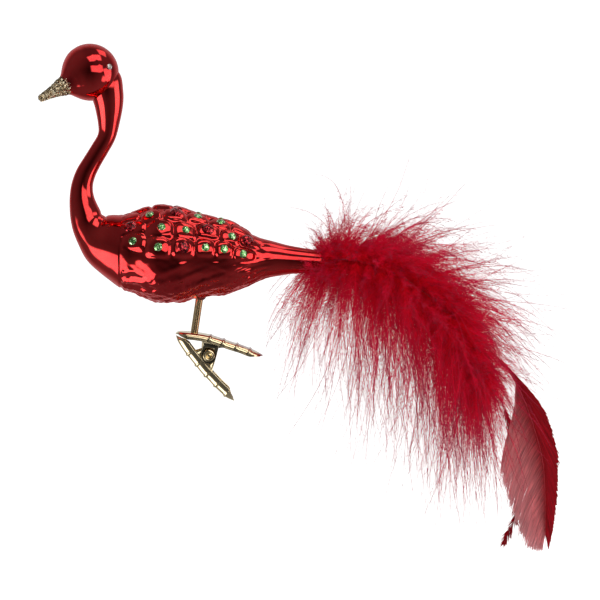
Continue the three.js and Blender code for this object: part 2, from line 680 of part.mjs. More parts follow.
// One web of the long feather: a thin plate between its shaft and an outer edge.
// The edge is given from the tube's end, from the web's top to its tip.
function makeWeb(side, edge) {
  const inner = pathEdge(longPath, VANE_START, VANE_END, 12, side * (QUILL_RADIUS + GAP));
  const outer = edge.map(([x, z]) => [tubeEnd.x + x * reach, tubeEnd.z + z]);
  return plate([...inner, ...outer.reverse()], VANE_THICKNESS, 0);
}

// The narrow feather's vane: a strip beside its shaft, wider towards the middle.
function makeNarrowVane() {
  const side = NARROW_BEHIND + QUILL_RADIUS + GAP + VANE_THICKNESS / 2;
  const edge = (half) => pathEdge(narrowPath, NARROW_START, NARROW_END, 10, half);
  return plate([...edge(-NARROW_WIDTH / 2), ...edge(NARROW_WIDTH / 2).reverse()], VANE_THICKNESS, side);
}

const OUTER_EDGE = [
  [76, -45.5], [79.5, -49.4], [84.4, -55.9], [87.4, -63.1], [89.7, -72.6], [90, -80], [89.8, -89],
  [88.6, -101], [86.9, -110],
];
const INNER_EDGE = [
  [74.3, -53], [73.6, -64.6], [69.3, -74.9], [69.8, -83.4], [73.1, -93.9], [75, -99], [78.3, -107],
  [80.6, -109.4], [84.6, -110.5],
];

// ---------------------------------------------------------------- assembly

addPiece("glass_bird", makeGlassBird(), GLASS_RED);
addPiece("beak_glitter_coat", makeGlitterCoat(), GLITTER_GOLD);
addEyes();
addStones();
addPiece("clip_upper_jaw", makeUpperJaw(), BRASS);
addPiece("clip_lower_jaw", makeLowerJaw(), BRASS);
addPiece("clip_pivot_rivet", makeRivet(), BRASS);
addPiece("clip_torsion_spring", makeSpring(), STEEL);
addPiece("clip_post", makePost(), BRASS);
addPiece("post_glue_bead", makePostGlue(), DARK_RED);
addPiece("tail_glue_plug", makePlug(), GLUE);
for (const [name, path] of Object.entries(plumePaths)) {
  addPiece(`plume_${name}_quill`, wire(stretch(path, 0, QUILL_END, 16), QUILL_RADIUS, 6, 18), QUILL_RED);
  addPiece(`plume_${name}_down`, makePlume(path), PLUME_RED);
}
addPiece("long_feather_quill", wire(longPath, QUILL_RADIUS, 6, 28), QUILL_RED);
addPiece("long_feather_outer_web", makeWeb(-1, OUTER_EDGE), VANE_RED);
addPiece("long_feather_inner_web", makeWeb(1, INNER_EDGE), VANE_PINK);
addPiece("narrow_feather_quill", wire(narrowPath, QUILL_RADIUS, 6, 28), QUILL_RED);
addPiece("narrow_feather_vane", makeNarrowVane(), VANE_RED);

export default ornament;
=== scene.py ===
"""A blown-glass Christmas bird on a sprung clip, with a feather tail. Metres, +Z up; the bird faces -X."""
import math

import bmesh
import bpy
import numpy as np
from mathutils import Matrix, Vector


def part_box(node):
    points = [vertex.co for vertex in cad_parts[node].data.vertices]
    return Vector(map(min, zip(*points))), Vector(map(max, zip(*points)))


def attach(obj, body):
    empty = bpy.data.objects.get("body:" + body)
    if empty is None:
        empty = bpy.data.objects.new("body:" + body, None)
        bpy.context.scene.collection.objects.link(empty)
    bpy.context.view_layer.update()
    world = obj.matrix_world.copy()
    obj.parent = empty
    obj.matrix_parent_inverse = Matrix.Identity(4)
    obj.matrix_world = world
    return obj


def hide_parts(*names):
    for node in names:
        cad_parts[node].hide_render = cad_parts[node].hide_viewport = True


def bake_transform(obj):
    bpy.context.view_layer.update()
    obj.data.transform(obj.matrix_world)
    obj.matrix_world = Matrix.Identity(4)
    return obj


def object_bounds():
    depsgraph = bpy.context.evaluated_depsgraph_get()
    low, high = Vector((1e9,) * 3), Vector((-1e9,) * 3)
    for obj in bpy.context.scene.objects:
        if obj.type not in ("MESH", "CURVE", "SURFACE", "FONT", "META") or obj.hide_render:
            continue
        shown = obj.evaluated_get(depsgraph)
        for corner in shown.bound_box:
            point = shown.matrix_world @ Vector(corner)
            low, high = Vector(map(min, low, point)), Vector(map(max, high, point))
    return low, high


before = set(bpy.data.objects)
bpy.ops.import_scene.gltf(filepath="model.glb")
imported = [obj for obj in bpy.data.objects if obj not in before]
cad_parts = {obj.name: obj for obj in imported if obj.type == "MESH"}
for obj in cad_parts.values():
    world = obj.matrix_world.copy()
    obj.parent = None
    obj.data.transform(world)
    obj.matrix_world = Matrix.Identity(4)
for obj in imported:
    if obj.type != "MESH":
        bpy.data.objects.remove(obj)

CAD_BOX = [list(corner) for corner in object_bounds()]
MM = 0.001
UV_LAYER = "OFBake"

# Glass bird, in millimetres, as in the CAD model
BODY_LENGTH = 76
BODY_RADIUS = 18.4
BODY_RISE = 3.8  # the body's front axis above the tail tube's axis
HEAD_RADIUS = 10.9
HEAD_RISE = 68
HEAD_REACH = 11.4
BEAK_LENGTH = 13
BEAK_DROP = math.radians(23.5)
BEAK_TURN = math.radians(32)
BEAK_ROOT = 3.7
BEAK_TIP = 1.2
PLUG_LIP = 0.6
GLASS_WALL = 0.8
AROUND = 220  # points round the body

# [ahead of the breast line, part of the head's rise, part of the body's radius, lean in degrees]
NECK_RINGS = [
    (8.8, 1.03, 0.2, -50), (5.6, 0.97, 0.31, -72), (4.9, 0.89, 0.335, -80), (4.2, 0.81, 0.292, -84),
    (4.4, 0.706, 0.217, -94), (5.3, 0.638, 0.185, -112), (7.8, 0.572, 0.185, -119),
    (10.6, 0.504, 0.19, -119), (13.1, 0.437, 0.206, -113), (14.5, 0.37, 0.223, -99),
    (14.6, 0.303, 0.255, -90), (13.6, 0.235, 0.31, -88), (12.8, 0.172, 0.335, -66),
    (11.1, 0.12, 0.4, -43), (9.3, 0.074, 0.49, -24), (6.6, 0.045, 0.59, -10), (3.6, 0.023, 0.675, -4),
]
# [part of the body's length, part of the body's radius]
BODY_PROFILE = [
    (0, 0.76), (0.06, 0.83), (0.12, 0.93), (0.18, 1), (0.24, 1), (0.3, 0.98), (0.36, 0.905), (0.45, 0.82),
    (0.54, 0.755), (0.6, 0.652), (0.66, 0.527), (0.72, 0.413), (0.78, 0.353), (0.84, 0.3), (0.93, 0.253),
    (1, 0.228),
]
# The moulded feathers of a wing, row by row: [part of the body's length, degrees above the side]
WING_ROWS = [
    [(0.067, 20), (0.195, 12), (0.32, 14), (0.428, 16), (0.52, 16), (0.614, 11)],
    [(0.055, 43), (0.21, 37), (0.33, 37), (0.438, 45), (0.557, 40), (0.634, 42)],
    [(0.05, 68), (0.15, 58), (0.28, 64), (0.388, 69), (0.501, 67), (0.6, 68)],
    [(0.1, 90), (0.21, 90), (0.335, 90), (0.445, 90), (0.55, 90)],
]
FEATHER_TOP = 0.3  # the moulded feathers stand this far over the plain body
FEATHER_HALF_HEIGHT = 13.5  # degrees
ROW_END = 4.6  # half the length of a row's first and last feather, on its outer side

plug_low, plug_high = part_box("tail_glue_plug")
TUBE_END = np.array([plug_high.x / MM - PLUG_LIP, 0, (plug_low.z + plug_high.z) / 2 / MM])
FRONT = TUBE_END + np.array([-BODY_LENGTH, 0, BODY_RISE])
HEAD = FRONT + np.array([-HEAD_REACH, 0, HEAD_RISE])
BEAK = np.array([
    -math.cos(BEAK_DROP) * math.cos(BEAK_TURN),
    -math.cos(BEAK_DROP) * math.sin(BEAK_TURN),
    -math.sin(BEAK_DROP),
])


# ---- mesh helpers

def unit(v):
    return v / np.maximum(np.linalg.norm(v, axis=-1, keepdims=True), 1e-9)


def smooth_step(low, high, x):
    t = np.clip((x - low) / (high - low), 0, 1)
    return t * t * (3 - 2 * t)


def spline(points, t):
    """A smooth curve through the points; t runs from 0 to their number less one."""
    points = np.asarray(points, float)
    padded = np.vstack([2 * points[0] - points[1], points, 2 * points[-1] - points[-2]])
    t = np.atleast_1d(np.asarray(t, float))
    i = np.clip(t.astype(int), 0, len(points) - 2)
    f = (t - i)[:, None]
    p0, p1, p2, p3 = (padded[i + k] for k in range(4))
    return 0.5 * (2 * p1 + (p2 - p0) * f + (2 * p0 - 5 * p1 + 4 * p2 - p3) * f**2
                  + (3 * p1 - p0 - 3 * p2 + p3) * f**3)


def path_at(points, parts, fine=400):
    """Places and directions on the smooth curve through the points, at parts of its length."""
    dense = spline(points, np.linspace(0, len(points) - 1, fine))
    steps = np.linalg.norm(np.diff(dense, axis=0), axis=1)
    length = np.concatenate([[0], np.cumsum(steps)])
    parts = np.clip(np.asarray(parts, float), 0, 1) * length[-1]
    place = np.stack([np.interp(parts, length, dense[:, k]) for k in range(3)], 1)
    slope = np.gradient(dense, axis=0)
    along = np.stack([np.interp(parts, length, slope[:, k]) for k in range(3)], 1)
    return place, unit(along)


def new_piece(name, points, faces, material, smooth=True, uvs=None, closed=False):
    """An object from points in millimetres and faces that all have the same number of corners."""
    points = np.asarray(points, np.float32).reshape(-1, 3) * MM
    faces = np.asarray(faces, np.int32)
    corners = faces.shape[1]
    mesh = bpy.data.meshes.new(name)
    mesh.vertices.add(len(points))
    mesh.vertices.foreach_set("co", points.ravel())
    mesh.loops.add(faces.size)
    mesh.loops.foreach_set("vertex_index", faces.ravel())
    mesh.polygons.add(len(faces))
    mesh.polygons.foreach_set("loop_start", np.arange(0, faces.size, corners, dtype=np.int32))
    mesh.polygons.foreach_set("use_smooth", np.full(len(faces), smooth))
    if uvs is not None:
        layer = mesh.uv_layers.new(name=UV_LAYER)
        layer.data.foreach_set("uv", np.asarray(uvs, np.float32)[faces.ravel()].ravel())
    mesh.update(calc_edges=True)
    mesh.validate()
    if closed:
        shape = bmesh.new()
        shape.from_mesh(mesh)
        bmesh.ops.remove_doubles(shape, verts=shape.verts, dist=1e-7)
        bmesh.ops.recalc_face_normals(shape, faces=shape.faces)
        shape.to_mesh(mesh)
        shape.free()
    mesh.materials.append(material)
    piece = bpy.data.objects.new(name, mesh)
    bpy.context.scene.collection.objects.link(piece)
    return piece


def place_piece(piece, replaced=(), body="bird"):
    if replaced:
        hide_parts(*replaced)
    if body:
        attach(piece, body)
    return piece


def grid_faces(rows, columns, around=True):
    """Four-cornered faces of a grid of points whose columns meet again when it goes around."""
    c = np.arange(columns if around else columns - 1)
    r = np.arange(rows - 1)[:, None]
    n = (c + 1) % columns
    quads = np.stack([r * columns + c, r * columns + n, (r + 1) * columns + n, (r + 1) * columns + c], -1)
    return quads.reshape(-1, 4)


def joined(parts):
    """One list of points and one of faces from several."""
    points, faces, start = [], [], 0
    for p, f in parts:
        p = np.asarray(p, float).reshape(-1, 3)
        points.append(p)
        faces.append(np.asarray(f) + start)
        start += len(p)
    return np.vstack(points), np.vstack(faces)


def turned_surface(profile, place, axis, sides):
    """The grid of points of a profile of (radius, distance) turned about an axis."""
    axis = unit(np.asarray(axis, float))
    side = unit(np.cross(axis, [0.3, 1, 0.2]))
    up = np.cross(axis, side)
    profile = np.asarray(profile, float)
    turn = np.linspace(0, 2 * math.pi, sides, endpoint=False)
    spoke = np.cos(turn)[:, None] * side + np.sin(turn)[:, None] * up
    return place + profile[:, 1, None, None] * axis + profile[:, 0, None, None] * spoke


def rounded(profile, steps=6):
    """A profile drawn finer, with its corners softened."""
    profile = np.asarray(profile, float)
    out = [profile[0]]
    for i in range(1, len(profile) - 1):
        a, b, c = profile[i - 1], profile[i], profile[i + 1]
        reach = 0.35 * min(np.linalg.norm(b - a), np.linalg.norm(c - b))
        start = b + unit(a - b) * reach
        end = b + unit(c - b) * reach
        for k in range(steps + 1):
            t = k / steps
            out.append((1 - t) ** 2 * start + 2 * t * (1 - t) * b + t * t * end)
    out.append(profile[-1])
    return np.array(out)


def swept_tube(path, radii, sides):
    """A round tube of changing radius along a list of places, closed at both ends."""
    path = np.asarray(path, float)
    along = unit(np.gradient(path, axis=0))
    side = unit(np.cross(along, [0.12, 1, 0.05]))
    up = np.cross(along, side)
    turn = np.linspace(0, 2 * math.pi, sides, endpoint=False)
    radii = np.broadcast_to(np.asarray(radii, float), len(path))
    rim = np.cos(turn)[None, :, None] * side[:, None] + np.sin(turn)[None, :, None] * up[:, None]
    grid = path[:, None] + rim * radii[:, None, None]
    grid = np.concatenate([np.repeat(path[:1, None], sides, 1), grid, np.repeat(path[-1:, None], sides, 1)])
    return grid.reshape(-1, 3), grid_faces(len(grid), sides)


def grid_piece(name, grid, material, closed=True):
    """An object from rows of points that each run round it."""
    return new_piece(name, grid, grid_faces(*grid.shape[:2]), material, closed=closed)


def beside(along):
    """The ways across a line that runs in X and Z, towards its upper side where it runs along +X."""
    return np.stack([-along[:, 2], np.zeros(len(along)), along[:, 0]], 1)


# ---- materials

NOISE_LOW, NOISE_HIGH = 0.3, 0.7  # most of a noise lies between these


class Nodes:
    """Builds the nodes of a material, a light or the world."""

    def __init__(self, owner, shader="Principled BSDF"):
        owner.use_nodes = True
        self.owner = owner
        self.tree = owner.node_tree
        self.shader = self.tree.nodes[shader]

    def add(self, kind, **settings):
        node = self.tree.nodes.new(kind)
        for key, value in settings.items():
            if key in node.inputs:
                node.inputs[key].default_value = value
            else:
                setattr(node, key, value)
        return node

    def link(self, source, target):
        self.tree.links.new(source, target)

    def fill(self, sockets, values):
        """Link each value to its socket, or set the socket to it where it is a number or a colour."""
        for socket, value in zip(sockets, values):
            if hasattr(value, "is_linked"):
                self.link(value, socket)
            else:
                socket.default_value = value if isinstance(value, (int, float)) else (*value, 1)

    def set(self, **values):
        for key, value in values.items():
            self.shader.inputs[key.replace("_", " ")].default_value = value

    def to(self, socket, source):
        self.link(source, self.shader.inputs[socket])

    def place(self, stretch=(1, 1, 1), source=None):
        """The place on the object, or another place, stretched."""
        mapping = self.add("ShaderNodeMapping", Scale=stretch)
        self.link(source or self.add("ShaderNodeTexCoord").outputs["Object"], mapping.inputs["Vector"])
        return mapping.outputs["Vector"]

    def noise(self, scale, detail=3, rough=0.55, stretch=(1, 1, 1), distort=0.0, source=None):
        node = self.add("ShaderNodeTexNoise", Scale=scale, Detail=detail, Roughness=rough, Distortion=distort)
        self.link(self.place(stretch, source), node.inputs["Vector"])
        return node.outputs["Fac"]

    def cells(self, scale, output="Color"):
        node = self.add("ShaderNodeTexVoronoi", Scale=scale)
        self.link(self.place(), node.inputs["Vector"])
        return node.outputs[output]

    def split(self, source):
        """The X, Y and Z of a place."""
        node = self.add("ShaderNodeSeparateXYZ")
        self.link(source, node.inputs[0])
        return node.outputs

    def math(self, operation, *values):
        node = self.add("ShaderNodeMath", operation=operation)
        self.fill(node.inputs, values)
        return node.outputs[0]

    def ramp(self, source, stops):
        node = self.add("ShaderNodeValToRGB")
        elements = node.color_ramp.elements
        while len(elements) < len(stops):
            elements.new(0.5)
        for element, (position, colour) in zip(elements, stops):
            element.position = position
            element.color = (*colour, 1)
        self.link(source, node.inputs["Fac"])
        return node.outputs["Color"]

    def value(self, source, low, high, new_low, new_high, smooth=False):
        """Carry numbers over from one range to another."""
        node = self.add("ShaderNodeMapRange", interpolation_type="SMOOTHSTEP" if smooth else "LINEAR")
        for key, number in (("From Min", low), ("From Max", high), ("To Min", new_low), ("To Max", new_high)):
            node.inputs[key].default_value = number
        self.link(source, node.inputs["Value"])
        return node.outputs["Result"]

    def mix(self, factor, first, second):
        node = self.add("ShaderNodeMix", data_type="RGBA")
        self.fill((node.inputs[0], node.inputs[6], node.inputs[7]), (factor, first, second))
        return node.outputs[2]

    def bump(self, height, strength, distance):
        node = self.add("ShaderNodeBump", Strength=strength, Distance=distance)
        self.link(height, node.inputs["Height"])
        self.to("Normal", node.outputs["Normal"])

    def mottle(self, noise, low, high):
        """A colour that drifts from one to another with a noise."""
        self.to("Base Color", self.ramp(noise, [(NOISE_LOW, low), (NOISE_HIGH, high)]))

    def polish(self, noise, low, high):
        """A roughness that drifts from one to another with a noise."""
        self.to("Roughness", self.value(noise, NOISE_LOW, NOISE_HIGH, low, high))


def look(name, **values):
    """A new material's nodes, with these values on its shader."""
    m = Nodes(bpy.data.materials.new(name))
    m.set(**values)
    return m


def red_glass():
    """Mirror silvering seen through deep red lacquer, under clear gloss."""
    m = look("silvered_red_lacquer", Metallic=1.0, Specular_Tint=(0.7, 0.06, 0.1, 1),
             Coat_Weight=0.6, Coat_Roughness=0.015, Coat_IOR=1.5)
    m.mottle(m.noise(45, detail=4, rough=0.6, distort=0.6), (0.55, 0.004, 0.01), (0.72, 0.03, 0.028))
    m.to("Roughness", m.value(m.noise(160, detail=5), 0.3, 0.75, 0.03, 0.09))
    m.bump(m.noise(120, detail=2), 0.12, 0.0004)
    return m.owner


def glitter_gold():
    m = look("champagne_glitter", Metallic=1.0, Coat_Weight=0.2, Coat_Roughness=0.1)
    golds = [(0.1, (0.16, 0.1, 0.05)), (0.4, (0.6, 0.46, 0.27)), (0.8, (1.0, 0.93, 0.74))]
    m.to("Base Color", m.ramp(m.cells(2300), golds))
    m.polish(m.noise(900), 0.12, 0.4)
    return m.owner


def crystal(name, dark, light, painted_glint):
    """A foiled stone: colour from below, sharp facets, and painted light: small cells of darker and lighter
    colour, as facets catching more or less light, and painted glints where facets seen through it would catch
    the light.
    """
    m = look(name, Metallic=0.85, Coat_Weight=0.3, Coat_Roughness=0.0, Coat_IOR=1.5)
    # The ramp's last colour is a painted glint: near-white cells in the base colour
    m.to("Base Color", m.ramp(m.cells(1700), [(0.2, dark), (0.5, light), (0.85, painted_glint)]))
    m.polish(m.noise(1200), 0.02, 0.12)
    m.bump(m.cells(1500, "Distance"), 0.35, 0.0003)
    return m.owner


# Where lacquer lies on the upper jaw, in metres: above a line that falls along +X, and at its finger end
SPRAY_SLOPE = 0.36
SPRAY_RAGGED = 0.0032
SPRAY_TOP = (0.0071, 0.0075)
SPRAY_TIP = (0.0222, 0.0236)


def brass(name, overspray=False, pale=(0.95, 0.79, 0.5), deep=(0.6, 0.44, 0.22), smooth=0.06, coarse=0.2):
    """Thin brass with soft tarnish, fine scratches, and red lacquer where it was sprayed with the bird."""
    m = look(name, Metallic=1.0, Coat_Weight=0.3, Coat_Roughness=0.08)
    metal = m.ramp(m.noise(300, detail=5, rough=0.6), [(0.28, deep), (0.45, pale), (0.8, pale)])
    m.to("Base Color", metal)
    m.polish(m.noise(1400, detail=3, stretch=(0.15, 1, 1)), smooth, coarse)
    m.bump(m.noise(2200, detail=2, stretch=(0.12, 1, 1)), 0.04, 0.00005)
    if overspray:
        place = m.split(m.place())
        slope = m.math("MULTIPLY_ADD", place["X"], SPRAY_SLOPE, place["Z"])
        ragged = m.math("MULTIPLY_ADD", m.noise(330, detail=5, rough=0.7), SPRAY_RAGGED, slope)
        top, tip = m.value(ragged, *SPRAY_TOP, 0.0, 0.8), m.value(place["X"], *SPRAY_TIP, 0.0, 0.95)
        spray = m.math("MAXIMUM", top, tip)
        m.to("Base Color", m.mix(spray, metal, (0.34, 0.004, 0.006)))
        m.to("Metallic", m.value(spray, 0, 1, 1.0, 0.35))
    return m.owner


def steel():
    m = look("spring_steel_wire", Metallic=1.0, Coat_Weight=0.1)
    m.mottle(m.noise(700, detail=4), (0.16, 0.15, 0.14), (0.5, 0.48, 0.44))
    m.polish(m.noise(2000), 0.2, 0.42)
    m.bump(m.noise(4000, stretch=(1, 0.2, 1)), 0.2, 0.0001)
    return m.owner


def red_glue():
    m = look("red_glue", Coat_Weight=0.6, Coat_Roughness=0.12)
    m.mottle(m.noise(500, detail=4), (0.1, 0.0, 0.003), (0.26, 0.006, 0.01))
    m.polish(m.noise(900), 0.25, 0.5)
    m.bump(m.noise(900, detail=4), 0.4, 0.0004)
    return m.owner


def feather(name, root, middle, tip, sheen, through):
    """Dyed feather: its colour runs along each barb, no two barbs are alike, and some light gets through."""
    m = look(name, Sheen_Weight=sheen, Sheen_Roughness=0.4, Sheen_Tint=(1.0, 0.55, 0.6, 1),
             Specular_IOR_Level=0.25)
    uv = m.add("ShaderNodeUVMap", uv_map=UV_LAYER).outputs["UV"]
    along = m.ramp(m.split(uv)["Y"], [(0.02, root), (0.45, middle), (1.0, tip)])
    strand = m.noise(60, detail=2, rough=0.5, stretch=(1, 0.05, 1), source=uv)
    colour = m.add("ShaderNodeVectorMath", operation="SCALE")
    m.link(along, colour.inputs[0])
    m.link(m.value(strand, NOISE_LOW, NOISE_HIGH, 0.62, 1.25), colour.inputs["Scale"])
    m.to("Base Color", colour.outputs[0])
    m.polish(strand, 0.55, 0.8)
    light = m.add("ShaderNodeBsdfTranslucent")
    m.link(colour.outputs[0], light.inputs["Color"])
    both = m.add("ShaderNodeMixShader")
    m.fill(both.inputs, (through, m.shader.outputs[0], light.outputs[0]))
    m.link(both.outputs[0], m.tree.nodes["Material Output"].inputs["Surface"])
    return m.owner


def quill_horn():
    m = look("dyed_quill_horn", Coat_Weight=0.25, Coat_Roughness=0.25)
    m.mottle(m.noise(260, stretch=(1, 4, 1)), (0.4, 0.0, 0.01), (0.6, 0.01, 0.04))
    m.polish(m.noise(600), 0.35, 0.6)
    m.bump(m.noise(1500, stretch=(0.2, 1, 1)), 0.2, 0.0001)
    return m.owner


# ---- glass bird

def ripple(s, turn, waves, along, across, seed):
    """Soft irregular waves over the body: a sum of waves, whole in number round the body."""
    rng = np.random.default_rng(seed)
    total = np.zeros_like(s + turn)
    for _ in range(waves):
        k = 2 * math.pi / (along * rng.uniform(0.7, 1.6)) * rng.choice([-1, 1])
        n = round(2 * math.pi * BODY_RADIUS * 0.8 / (across * rng.uniform(0.7, 1.5)))
        total = total + np.sin(k * s + n * turn + rng.uniform(0, 2 * math.pi))
    return total / math.sqrt(waves)


def feather_pattern(s, lift):
    """Distance from the middle of the nearest moulded feather, 0 there and 1 at its edge."""
    nearest = np.full(np.broadcast(s, lift).shape, 9.0)
    for row in WING_ROWS:
        places = [along * BODY_LENGTH for along, _ in row]
        for i, (place, (_, angle)) in enumerate(zip(places, row)):
            before = (place - places[i - 1]) / 2 if i else ROW_END
            after = (places[i + 1] - place) / 2 if i + 1 < len(places) else ROW_END
            across = (s - place) / np.where(s < place, before, after)
            up = (lift - angle) / FEATHER_HALF_HEIGHT + 0.16 * across**2
            nearest = np.minimum(nearest, (np.abs(across) ** 3 + np.abs(up) ** 3) ** (1 / 3))
    return nearest


def body_relief(s, turn):
    """How far the moulded skin stands over the plain body; turn is measured from the top of the back."""
    lift = 90 - np.abs(np.degrees(turn))
    low_edge = np.interp(s, [0, 4, 9, 20, 45, 52, 58, 64], [20, 7, 0, -3, -3, 0, 9, 20])
    wing = smooth_step(-2.5, 2.5, lift - low_edge) * smooth_step(0, 2.5, s) * (1 - smooth_step(50, 57, s))
    edge = feather_pattern(s, lift)
    puffed = FEATHER_TOP - 0.35 * np.minimum(edge, 1.1) ** 2 - 0.7 * smooth_step(0.7, 1.08, edge)
    puffed = puffed + 0.04 * ripple(s, turn, 7, 5, 4, 3)
    below = np.clip(low_edge - lift, 0, 60)
    crease = -0.95 * np.exp(-below / 28) * smooth_step(1, 8, s) * (1 - smooth_step(48, 58, s))
    crease = crease * smooth_step(2.5, -2.5, lift - low_edge)
    moulded = smooth_step(0.2, 1.4, s) * (1 - smooth_step(48, 60, s))
    collar = -0.3 * np.exp(-(((s - 0.4) / 2) ** 2)) * smooth_step(20, -15, lift)
    folds = 0.19 * ripple(s, turn, 9, 15, 4.2, 11) + 0.07 * ripple(s, turn, 8, 6, 3, 12)
    under = smooth_step(15, 50, -lift)
    scales = 0.16 * np.abs(ripple(s, turn, 6, 4.2, 3.6, 14)) * under
    plain = collar + 0.12 * moulded + moulded * (folds * (0.35 + 0.65 * smooth_step(0, 30, -lift)) + scales)
    return plain * (1 - wing) + puffed * wing + crease


def bird_skin():
    """The skin from inside the head, down the neck and along the body to the tube's open end."""
    stations = [
        (*(FRONT + np.array([-ahead, 0, rise * HEAD_RISE])), radius * BODY_RADIUS, lean)
        for ahead, rise, radius, lean in NECK_RINGS
    ]
    stations += [
        (*(FRONT + (TUBE_END - FRONT) * along), radius * BODY_RADIUS, 0) for along, radius in BODY_PROFILE
    ]
    neck, last = len(NECK_RINGS), len(stations) - 1
    # Stations from and to, and the rows of points between them
    spans = ((0, neck - 2, 100), (neck - 2, neck, 24), (neck, last - 3, 260))
    t = [np.linspace(*span, endpoint=False) for span in spans]
    t = np.concatenate(t + [np.linspace(last - 3, last, 50)])
    values = spline(stations, t)
    centre, radius, lean = values[:, :3], values[:, 3, None], np.radians(values[:, 4])
    turn = np.linspace(-math.pi, math.pi, AROUND, endpoint=False)
    up = np.stack([-np.sin(lean), np.zeros_like(lean), np.cos(lean)], 1)
    s = centre[:, :1] - FRONT[0]
    raised = radius + np.where((t >= neck)[:, None], body_relief(s, turn[None, :]), 0)
    spoke = np.cos(turn)[None, :, None] * up[:, None, :] - np.sin(turn)[None, :, None] * np.array([0, 1, 0])
    return centre[:, None, :] + spoke * raised[..., None], centre[-1], radius[-1, 0]


def tube_mouth(centre, radius):
    """The rounded lip of the tail tube and its inside, back to the glue."""
    turn = np.linspace(-math.pi, math.pi, AROUND, endpoint=False)
    spoke = np.stack([np.zeros_like(turn), -np.sin(turn), np.cos(turn)], 1)
    half = GLASS_WALL / 2
    rings = [
        (math.sin(angle) * half, radius - half + math.cos(angle) * half)
        for angle in np.linspace(0, math.pi, 9)[1:]
    ]
    rings += [(-1.5, radius - GLASS_WALL), (-4, radius - GLASS_WALL), (-8, radius - GLASS_WALL), (-8, 0)]
    return np.array([centre + np.array([out, 0, 0]) + spoke * size for out, size in rings])


def glass_body(material):
    skin, centre, radius = bird_skin()
    start = np.repeat(skin[:1].mean(1, keepdims=True), AROUND, 1)
    rows = np.concatenate([start, skin, tube_mouth(centre, radius)])
    piece = grid_piece("glass_body", rows, material)
    return place_piece(piece, ["glass_bird"])


# The front of the head, from its widest ring into the beak: [radius, distance], in parts of its radius
HEAD_DRAWN = [
    (1, 0), (0.975, 0.22), (0.9, 0.42), (0.77, 0.62), (0.6, 0.8), (0.44, 0.96), (0.325, 1.12), (0.27, 1.26),
    (0.2, 1.45),
]


def glass_head(material):
    """The head's bubble, drawn out like a drop into the beak."""
    end = HEAD_RADIUS + BEAK_LENGTH - 0.9
    back = -HEAD_RADIUS * np.cos(np.linspace(0, math.pi / 2, 80))
    ball = np.stack([np.sqrt(np.maximum(HEAD_RADIUS**2 - back**2, 0)), back], 1)
    drawn = [(radius * HEAD_RADIUS, along * HEAD_RADIUS) for radius, along in HEAD_DRAWN]
    drawn = np.array(drawn + [(0.4, end)])
    front = spline(drawn, np.linspace(0, len(drawn) - 1, 130))[1:]
    profile = np.vstack([ball, front, [0, end]])
    profile[0, 0] = 0
    piece = grid_piece("glass_head", turned_surface(profile, HEAD, BEAK, 160), material)
    return place_piece(piece)


GLITTER_FLAKES = 3600
BEAK_SIDES = 60


def beak_glitter(material):
    """The glue under the glitter and its flakes, each lying its own way."""
    root = HEAD_RADIUS - 0.25
    end = HEAD_RADIUS + BEAK_LENGTH
    stations = np.array([
        (BEAK_ROOT * 0.7, root - 0.3), (BEAK_ROOT * 0.96, root + 0.1), (BEAK_ROOT, root + 0.9),
        (BEAK_ROOT * 0.9, root + 2.6), (BEAK_ROOT * 0.7, root + 5.2), (BEAK_ROOT * 0.53, root + 8),
        (BEAK_TIP * 1.3, root + 10.6), (BEAK_TIP * 1.05, end - 0.7), (BEAK_TIP * 0.6, end - 0.15),
        (0, end - 0.05),
    ])
    fine = spline(stations, np.linspace(0, len(stations) - 1, 90))
    fine[:, 0] = np.maximum(fine[:, 0], 0)
    grid = turned_surface(fine, HEAD, BEAK, BEAK_SIDES)
    rng = np.random.default_rng(21)
    core = turned_surface(np.vstack([[0, root - 0.3], fine * [0.95, 1]]), HEAD, BEAK, BEAK_SIDES)
    off_axis = np.linalg.norm(core - core.mean(1, keepdims=True), axis=2, keepdims=True) > 0.2
    core = core + rng.normal(0, 0.05, core.shape) * off_axis
    count = GLITTER_FLAKES
    weight = fine[:, 0] * np.gradient(fine[:, 1]).clip(0.01)
    rows = rng.choice(len(fine) - 1, count, p=weight[:-1] / weight[:-1].sum())
    columns = rng.integers(0, BEAK_SIDES, count)
    place = grid[rows, columns] + rng.normal(0, 0.08, (count, 3))
    middle = HEAD + fine[rows, 1, None] * BEAK
    normal = unit(unit(place - middle) + rng.normal(0, 0.5, (count, 3)))
    side = unit(np.cross(normal, rng.normal(0, 1, (count, 3))))
    other = np.cross(normal, side)
    size = rng.uniform(0.14, 0.3, count)[:, None, None]
    turn = np.linspace(0, 2 * math.pi, 6, endpoint=False)[None, :, None]
    flakes = place[:, None] + size * (np.cos(turn) * side[:, None] + np.sin(turn) * other[:, None])
    start = core.size // 3
    first = start + np.arange(count)[:, None] * 6
    halves = np.concatenate([first + [0, 1, 2, 3], first + [0, 3, 4, 5]])
    faces = np.vstack([grid_faces(len(core), BEAK_SIDES), halves])
    points = np.vstack([core.reshape(-1, 3), flakes.reshape(-1, 3)])
    piece = new_piece("beak_glitter", points, faces, material, smooth=False)
    return place_piece(piece, ["beak_glitter_coat"])


# ---- stones

def seat_of(node):
    """The middle of a stone's back, the way out of it and its radius, read from its CAD solid."""
    points = np.array([v.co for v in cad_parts[node].data.vertices]) / MM
    middle = points.mean(0)
    spread = points - middle
    _, axes = np.linalg.eigh(spread.T @ spread)
    out = axes[:, 0]
    height = spread @ out
    width = np.linalg.norm(spread - height[:, None] * out, axis=1)
    if (height * (width - width.mean())).sum() > 0:
        out = -out
        height = -height
    return middle + height.min() * out, out, width.max()


